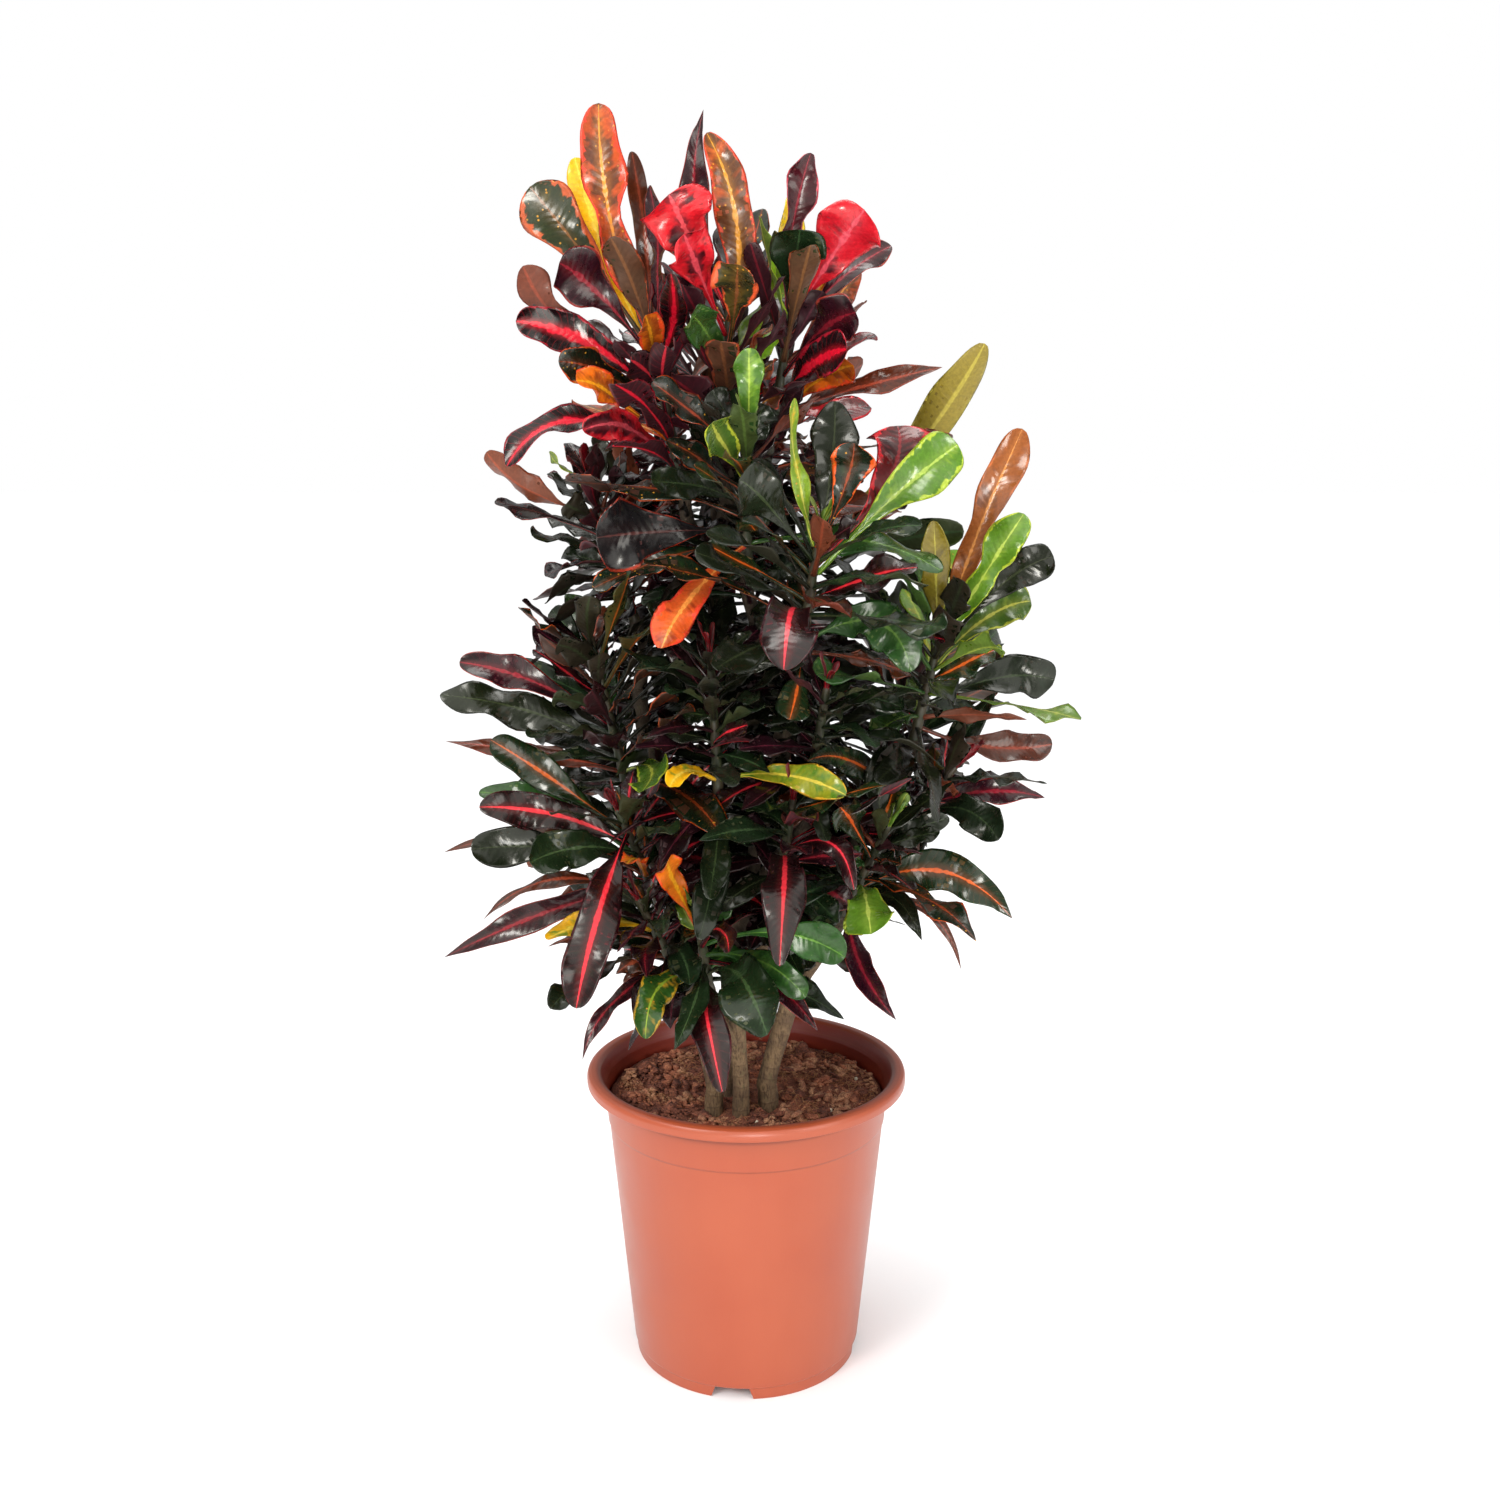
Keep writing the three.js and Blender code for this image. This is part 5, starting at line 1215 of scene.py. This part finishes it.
for row in stems:
    bm, place = startSkin()
    for n, (course, startRadius) in enumerate(stemCourses(row)):
        sides, steps = bark["sides"][n > 0], bark["steps"][n > 0]
        share = np.linspace(0, 1, steps + 1)
        places = np.array([curveAt(course, each) for each in share])
        turn = np.linspace(0, 2 * math.pi, sides + 1)
        (swell, swellTurns, swellStart), (rib, ribTurns, ribTwist) = bark["swells"], bark["ribs"]
        uneven = 1 + swell * np.sin(swellTurns * share + swellStart * n)[:, None]
        uneven = uneven + rib * np.sin(ribTurns * turn + ribTwist * share[:, None] + n)
        radii = between(startRadius, core["footRadius"], share)[:, None] * uneven
        ends = np.concatenate([[places[0]], places, [places[-1]]])
        ends[0] -= tangentAt(course, 0) * 0.02
        ends[-1] += tangentAt(course, 1) * 0.02
        radii = np.concatenate([radii[:1] * 0, radii, radii[:1] * 0])
        barkSkin(bm, ends, radii, sides, place, 0)
    pieceFrom(bm, f"bark_{row[0]}", [stemBark], "bark", [row[0]])
print("stems done", flush=True)

# the soil: a lumpy top with bark chips, coir fibres and white grains


def wallAt(z):
    rise = pot["height"] - pot["neckDrop"] - pot["footHeight"]
    return between(pot["baseRadius"], pot["neckRadius"], (z - pot["footHeight"]) / rise)


def lumps(x, y):
    return (1.5 * math.sin(0.11 * x + 1) * math.cos(0.13 * y) + 1.3 * math.sin(0.31 * x + 0.17 * y)
            + 1.2 * math.cos(0.23 * y - 0.37 * x) + 0.8 * math.sin(0.71 * x - 0.9) * math.sin(0.67 * y))


def soilMaterial(name, low, high, deep):
    material, shader, place = newMaterial(name, Roughness=0.93)
    cloud, grit = noise(place, 130, 5, 0.65), noise(place, 900, 3, 0.6)
    colour = mixed(ramp(cloud, 0.35, 0.65), paint(low), paint(high))
    colour = mixed(ramp(grit, 0.55, 0.35, 0.0, 0.8), colour, paint(deep))
    colour.feed(shader, "Base Color")
    bump(shader, cloud + grit * 0.6, 1.0, 0.0015)
    return material


soilMaterials = [
    soilMaterial("peatSoil", "764230", "9c5e42", "3a2016"),
    soilMaterial("barkChip", "98563c", "c07c5a", "50291c"),
    soilMaterial("paleChip", "a66a4e", "cc9670", "603a2a"),
    soilMaterial("darkChip", "683829", "985a42", "321a12"),
    soilMaterial("coirFibre", "ac6c46", "c49064", "5c3822"),
    soilMaterial("whiteGrain", "dccdae", "f0e4cc", "a89a84"),
]
inner = wallAt(soil["top"]) - pot["wall"] - 2.0  # the soil's reach inside the wall


def drawProfile(profile):
    # a profile as a line of edges, from its middle out and back
    bm = bmesh.new()
    line = [bm.verts.new((radius * mm, 0, z * mm)) for radius, z in profile]
    for pair in zip(line, line[1:]):
        bm.edges.new(pair)
    return bm, line


def spinRound(bm, steps):
    bmesh.ops.spin(bm, geom=bm.verts[:] + bm.edges[:], axis=(0, 0, 1), cent=(0, 0, 0), angle=2 * math.pi,
                   steps=steps, use_merge=True)
    bmesh.ops.remove_doubles(bm, verts=bm.verts[:], dist=1e-5)


bottom = pot["footHeight"] + pot["floor"] + 0.5
profile = [(0, bottom), (wallAt(bottom) - 4.0, bottom), (inner - 0.2, soil["top"] - 2)]
bm, _ = drawProfile(profile + [(inner * ring / 16, soil["top"]) for ring in range(16, -1, -1)])
spinRound(bm, soil["steps"])
for vert in bm.verts:
    x, y, z = vert.co / mm
    if z > soil["top"] - 1:
        rim = min(1, max(0, (inner - math.hypot(x, y)) / 8))
        vert.co.z += lumps(x, y) * (0.35 + 0.65 * rim) * mm
standing = [(row[1], row[3]) for row in stems]
anyAngle = 6.3


def scatter(count, key, make):
    # over the soil, but not on the stems; in small batches, which are quicker to make
    places = []
    for n in range(count):
        draw = stream(key, n)
        radius, angle = inner * soil["spread"] * math.sqrt(draw()), 2 * math.pi * draw()
        x, y = radius * math.cos(angle), radius * math.sin(angle)
        if all(math.hypot(x - at[0], y - at[1]) > thick + soil["stemGap"] for at, thick in standing):
            places.append((x, y, draw))
    for start in range(0, len(places), soil["batch"]):
        batch = bmesh.new()
        for place in places[start:start + soil["batch"]]:
            make(batch, *place)
        mesh = bpy.data.meshes.new("batch")
        batch.to_mesh(mesh)
        batch.free()
        bm.from_mesh(mesh)
        bpy.data.meshes.remove(mesh)


def setIndex(verts, index):
    for part in {part for vert in verts for part in vert.link_faces}:
        part.material_index = index


chips = {"size": (1.4, 6.5), "mostlySmall": 2.2, "rough": (0.62, 1.25), "tilt": (-0.6, 0.6),
         "roll": (-0.4, 0.4), "width": (0.45, 0.8), "thickness": (0.22, 0.45), "up": (0.0, 0.55)}


def chip(batch, x, y, draw):
    size = between(*chips["size"], draw() ** chips["mostlySmall"])
    made = bmesh.ops.create_icosphere(batch, subdivisions=1, radius=1.0)["verts"]
    for vert in made:
        vert.co *= between(*chips["rough"], draw())
    turn = Matrix.Rotation(anyAngle * draw(), 4, "Z")
    turn = turn @ Matrix.Rotation(between(*chips["tilt"], draw()), 4, "X")
    turn = turn @ Matrix.Rotation(between(*chips["roll"], draw()), 4, "Y")
    width, thickness = between(*chips["width"], draw()), between(*chips["thickness"], draw())
    shape = Matrix.Diagonal((size, size * width, size * thickness, 1))
    z = soil["top"] + lumps(x, y) + size * between(*chips["up"], draw())
    for vert in made:
        vert.co = (Vector((x, y, z)) + turn @ shape @ vert.co) * mm
    setIndex(made, 1 + math.floor(draw() * 3))


grains = {"size": (1.1, 2.0), "up": 0.9, "rough": (0.85, 1.1)}


def grain(batch, x, y, draw):
    size = between(*grains["size"], draw())
    made = bmesh.ops.create_icosphere(batch, subdivisions=2, radius=1.0)["verts"]
    middle = Vector((x, y, soil["top"] + lumps(x, y) + size * grains["up"]))
    for vert in made:
        vert.co = (middle + vert.co * size * between(*grains["rough"], draw())) * mm
    setIndex(made, 5)


fibres = {"length": (6, 20), "bow": (-0.35, 0.35), "rise": (0.6, 3.0), "thickness": 0.2, "up": 0.6,
          "reach": 0.97, "pulledIn": 0.93}


def fibre(batch, x, y, draw):
    length, angle = between(*fibres["length"], draw()), anyAngle * draw()
    bow, rise = between(*fibres["bow"], draw()), between(*fibres["rise"], draw())
    made = bmesh.ops.create_grid(batch, x_segments=4, y_segments=6, size=1.0)["verts"]
    for vert in made:
        t, turn = (vert.co.y + 1) / 2, math.pi * (vert.co.x + 1)
        along = (t - 0.5) * length
        heading = angle + bow * (t - 0.5) * 3
        px, py = x + along * math.cos(heading), y + along * math.sin(heading)
        if math.hypot(px, py) > inner * fibres["reach"]:
            px, py = px * fibres["pulledIn"], py * fibres["pulledIn"]
        thick = fibres["thickness"] * max(0.0, 1 - abs(2 * t - 1) ** 6)
        z = soil["top"] + lumps(px, py) + rise * (1 - (2 * t - 1) ** 2) + fibres["up"]
        side = (-math.sin(heading), math.cos(heading))
        vert.co = Vector((px + side[0] * thick * math.cos(turn), py + side[1] * thick * math.cos(turn),
                          z + thick * math.sin(turn))) * mm
    setIndex(made, 4)
    bmesh.ops.remove_doubles(batch, verts=made, dist=weld)


for n, (word, make) in enumerate({"chips": chip, "fibres": fibre, "grains": grain}.items()):
    scatter(soil[word], streams["soil"] + n, make)
pieceFrom(bm, "soil_top", soilMaterials, "soil", ["soil"])
print("soil done", flush=True)

# the nursery pot


def potMaterial():
    material, shader, place = newMaterial("potPlastic", Roughness=0.36, Specular_IOR_Level=0.5,
                                          Coat_Weight=0.12, Coat_Roughness=0.3)
    height = parts(place)[2]
    streak, cloud = noise(stretched(place, (1.0, 1.0, 0.12)), 60, 3), noise(place, 14, 3)
    colour = mixed(ramp(cloud, 0.3, 0.7), paint("9e4628"), paint("a24b2c"))
    colour = mixed(ramp(streak, 0.45, 0.75, 0.0, 0.12), colour, paint("964021"))
    scuff = ramp(noise(place, 260, 4, 0.7), 0.70, 0.78, 0.0, 0.3)
    colour = mixed(scuff, colour, paint("d08060"))
    colour = mixed(ramp(height, 0.03, 0.0, 0.0, 0.25), colour, paint("9a4426"))
    # painted shade: the wall is darker close under the rim and along the step of the band line
    level = stretched(place, (1.0, 1.0, 0.0))
    away = add(place.tree, "VectorMath", level, output="Value", operation="LENGTH")
    underRimShade = ramp(height, 0.2060, 0.2092) * ramp(away, 0.115, 0.112)
    bandStepShade = ramp(abs(height - (pot["bandLine"] - 0.5) * mm), 0.0012, 0.0004) * 0.5
    colour = mixed(larger(underRimShade, bandStepShade) * 0.7, colour, paint("6e2c18"))
    # the inner wall is painted darker up to the rim, as painted shade inside the pot; the wall leans out, so
    # its lean is taken off before the inside is told from the outside
    slope = (pot["neckRadius"] - pot["baseRadius"]) / (pot["height"] - pot["neckDrop"] - pot["footHeight"])
    outside = (pot["baseRadius"] - pot["footHeight"] * slope) * mm
    wall = ramp(away - height * slope, outside - 0.6 * mm, outside - 1.2 * mm) * ramp(height, 0.19, 0.2)
    # the flare inside the rim gets the same painted shade
    flare = ramp(away, 0.1100, 0.1088) * ramp(height, 0.2145, 0.2155)
    colour = mixed(larger(wall, flare) * 0.75, colour, paint("7a1e12"))
    colour.feed(shader, "Base Color")
    ramp(cloud, 0.3, 0.7, 0.32, 0.44).feed(shader, "Roughness")
    bump(shader, noise(place, 1400, 2) + streak * 2.0, 0.10, 0.0005)
    return material


neck, floorTop = pot["height"] - pot["neckDrop"], pot["footHeight"] + pot["floor"]
rim, height, bandFoot = pot["rimRadius"], pot["height"], pot["bandLine"] - 1
potProfile = [
    (0, pot["footHeight"]), (pot["footRadius"] - pot["footWall"], pot["footHeight"]),
    (pot["footRadius"] - pot["footWall"], 0), (pot["footRadius"], 0),
    (pot["footRadius"] + 0.4, pot["footHeight"] - 0.6), (pot["baseRadius"], pot["footHeight"] + 1),
    (wallAt(bandFoot) - pot["bandStep"], bandFoot), (wallAt(pot["bandLine"]), pot["bandLine"]),
    (pot["neckRadius"], neck), (rim - 9, height - 2.2), (rim - 3.4, height - 2.2), (rim - 1.9, height - 4),
    (rim - 1.8, height - pot["rimDrop"]), (rim - 0.2, height - pot["rimDrop"]), (rim, height - 4),
    (rim - 1, height - 1.2), (rim - 3.5, height), (rim - 8, height), (rim - 10.2, height - 1.4),
    (rim - 12.4, height - 6), (pot["neckRadius"] - pot["wall"], neck - 2),
    (wallAt(floorTop) - pot["wall"], floorTop), (0, floorTop),
]
bm, line = drawProfile(potProfile)
soft = [vert for vert, (radius, z) in zip(line, potProfile) if radius > 0]
bmesh.ops.bevel(bm, geom=soft, offset=pot["soft"] * mm, offset_type="OFFSET", segments=3, profile=0.5,
                affect="VERTICES", material=-1)
spinRound(bm, pot["steps"])
potPiece = pieceFrom(bm, "pot_shell", [potMaterial()], "pot", ["pot"])


def cutFrom(piece, bm):
    # cuts a closed tool shape out of a piece, and bakes the cut in
    bmesh.ops.recalc_face_normals(bm, faces=bm.faces[:])
    mesh = bpy.data.meshes.new("cutter")
    bm.to_mesh(mesh)
    bm.free()
    tool = bpy.data.objects.new("cutter", mesh)
    bpy.context.scene.collection.objects.link(tool)
    cut = piece.modifiers.new("cut", "BOOLEAN")
    cut.operation, cut.solver, cut.object = "DIFFERENCE", "EXACT", tool
    bpy.context.view_layer.update()
    after = piece.evaluated_get(bpy.context.evaluated_depsgraph_get())
    mesh = bpy.data.meshes.new_from_object(after)
    piece.modifiers.remove(cut)
    piece.data = mesh
    bpy.data.objects.remove(tool)


notch = {"count": 4, "turn": -97, "topWidth": 25, "bottomWidth": 32, "deep": 16}
drain = {"count": 8, "radius": 6, "ring": 64, "deep": 12, "sides": 32}
bm = bmesh.new()
for n in range(notch["count"]):
    made = bmesh.ops.create_cube(bm, size=1.0)["verts"]
    turn = Matrix.Rotation(math.radians(notch["turn"] + 90 + 360 * n / notch["count"]), 4, "Z")
    for vert in made:
        width, z = (notch["bottomWidth"], -1) if vert.co.z < 0 else (notch["topWidth"], pot["footHeight"])
        at = Vector((vert.co.x * width, vert.co.y * notch["deep"] - pot["footRadius"], z))
        vert.co = turn @ at * mm
for n in range(drain["count"]):
    turn, radius = Matrix.Rotation(2 * math.pi * n / drain["count"], 4, "Z"), drain["radius"] * mm
    at = turn @ Vector((drain["ring"], 0, pot["footHeight"]))
    bmesh.ops.create_cone(bm, cap_ends=True, segments=drain["sides"], radius1=radius, radius2=radius,
                          depth=drain["deep"] * mm, matrix=Matrix.Translation(at * mm))
cutFrom(potPiece, bm)
potPiece.data.set_sharp_from_angle(angle=math.radians(pot["sharpAngle"]))
print("pot done", flush=True)

# floor, light and camera

floorMaterial, floorShader, floorPlace = newMaterial("paleFloor", Roughness=0.9)
mixed(noise(floorPlace, 3, 2), paint("f4f4f4"), paint("f8f8f8")).feed(floorShader, "Base Color")
bm = bmesh.new()
bmesh.ops.create_grid(bm, x_segments=1, y_segments=1, size=60.0)
mesh = bpy.data.meshes.new("floor")
bm.to_mesh(mesh)
bm.free()
floor = bpy.data.objects.new("floor", mesh)
mesh.materials.append(floorMaterial)
bpy.context.scene.collection.objects.link(floor)

# a white room: bright to the camera, dimmer as a light, so that the leaves keep their depth
world = bpy.data.worlds.new("studio")
world.use_nodes = True
worldTree = world.node_tree
seen, lit = worldTree.nodes["Background"], worldTree.nodes.new("ShaderNodeBackground")
ray, both = worldTree.nodes.new("ShaderNodeLightPath"), worldTree.nodes.new("ShaderNodeMixShader")
worldTree.links.new(ray.outputs["Is Camera Ray"], both.inputs[0])
for n, (node, strength) in enumerate(((lit, 0.46), (seen, 1.0)), start=1):
    node.inputs["Color"].default_value = (1, 1, 1, 1)
    node.inputs["Strength"].default_value = strength
    worldTree.links.new(node.outputs[0], both.inputs[n])
worldTree.links.new(both.outputs[0], worldTree.nodes["World Output"].inputs["Surface"])
bpy.context.scene.world = world
bpy.context.scene.view_settings.view_transform = "Standard"

lamps = {  # place, aim, size and power
    "keyLight": ((-1.6, -1.9, 1.8), (0, 0, 0.45), 1.0, 38),
    "fillLight": ((1.9, -1.6, 1.0), (0, 0, 0.4), 1.3, 20),
    "lowLight": ((0.2, -2.2, 0.3), (0, 0, 0.25), 0.5, 21),
    "topLight": ((0.1, 0.4, 2.6), (0, 0, 0.5), 1.2, 18),
}
for name, (at, aim, size, power) in lamps.items():
    lamp = bpy.data.lights.new(name, "AREA")
    lamp.shape, lamp.size, lamp.energy = "DISK", size, power
    lampObject = bpy.data.objects.new(name, lamp)
    lampObject.location = at
    lampObject.rotation_euler = (Vector(aim) - Vector(at)).to_track_quat("-Z", "Y").to_euler()
    bpy.context.scene.collection.objects.link(lampObject)
sky = bpy.data.lights.new("roomLight", "SUN")  # lights the floor evenly out to the horizon
sky.energy, sky.angle = 2.2, math.radians(100)
skyObject = bpy.data.objects.new("roomLight", sky)
skyObject.rotation_euler = (math.radians(12), math.radians(-10), 0)
bpy.context.scene.collection.objects.link(skyObject)

# the focal length and the view's width share a unit
front = {"place": (0, -1.0974, 0.663), "aim": (0, 0.984, -0.177), "focal": 1529.3, "width": 1500,
         "sensor": 36, "shift": 0.0025}
camera = bpy.data.objects.new("camera", bpy.data.cameras.new("camera"))
bpy.context.scene.collection.objects.link(camera)
camera.data.sensor_width = front["sensor"]
camera.data.lens = front["sensor"] * front["focal"] / front["width"]
camera.data.shift_x = front["shift"]
camera.location = front["place"]
camera.rotation_euler = Vector(front["aim"]).to_track_quat("-Z", "Y").to_euler()
bpy.context.scene.camera = camera

print("scene done", flush=True)
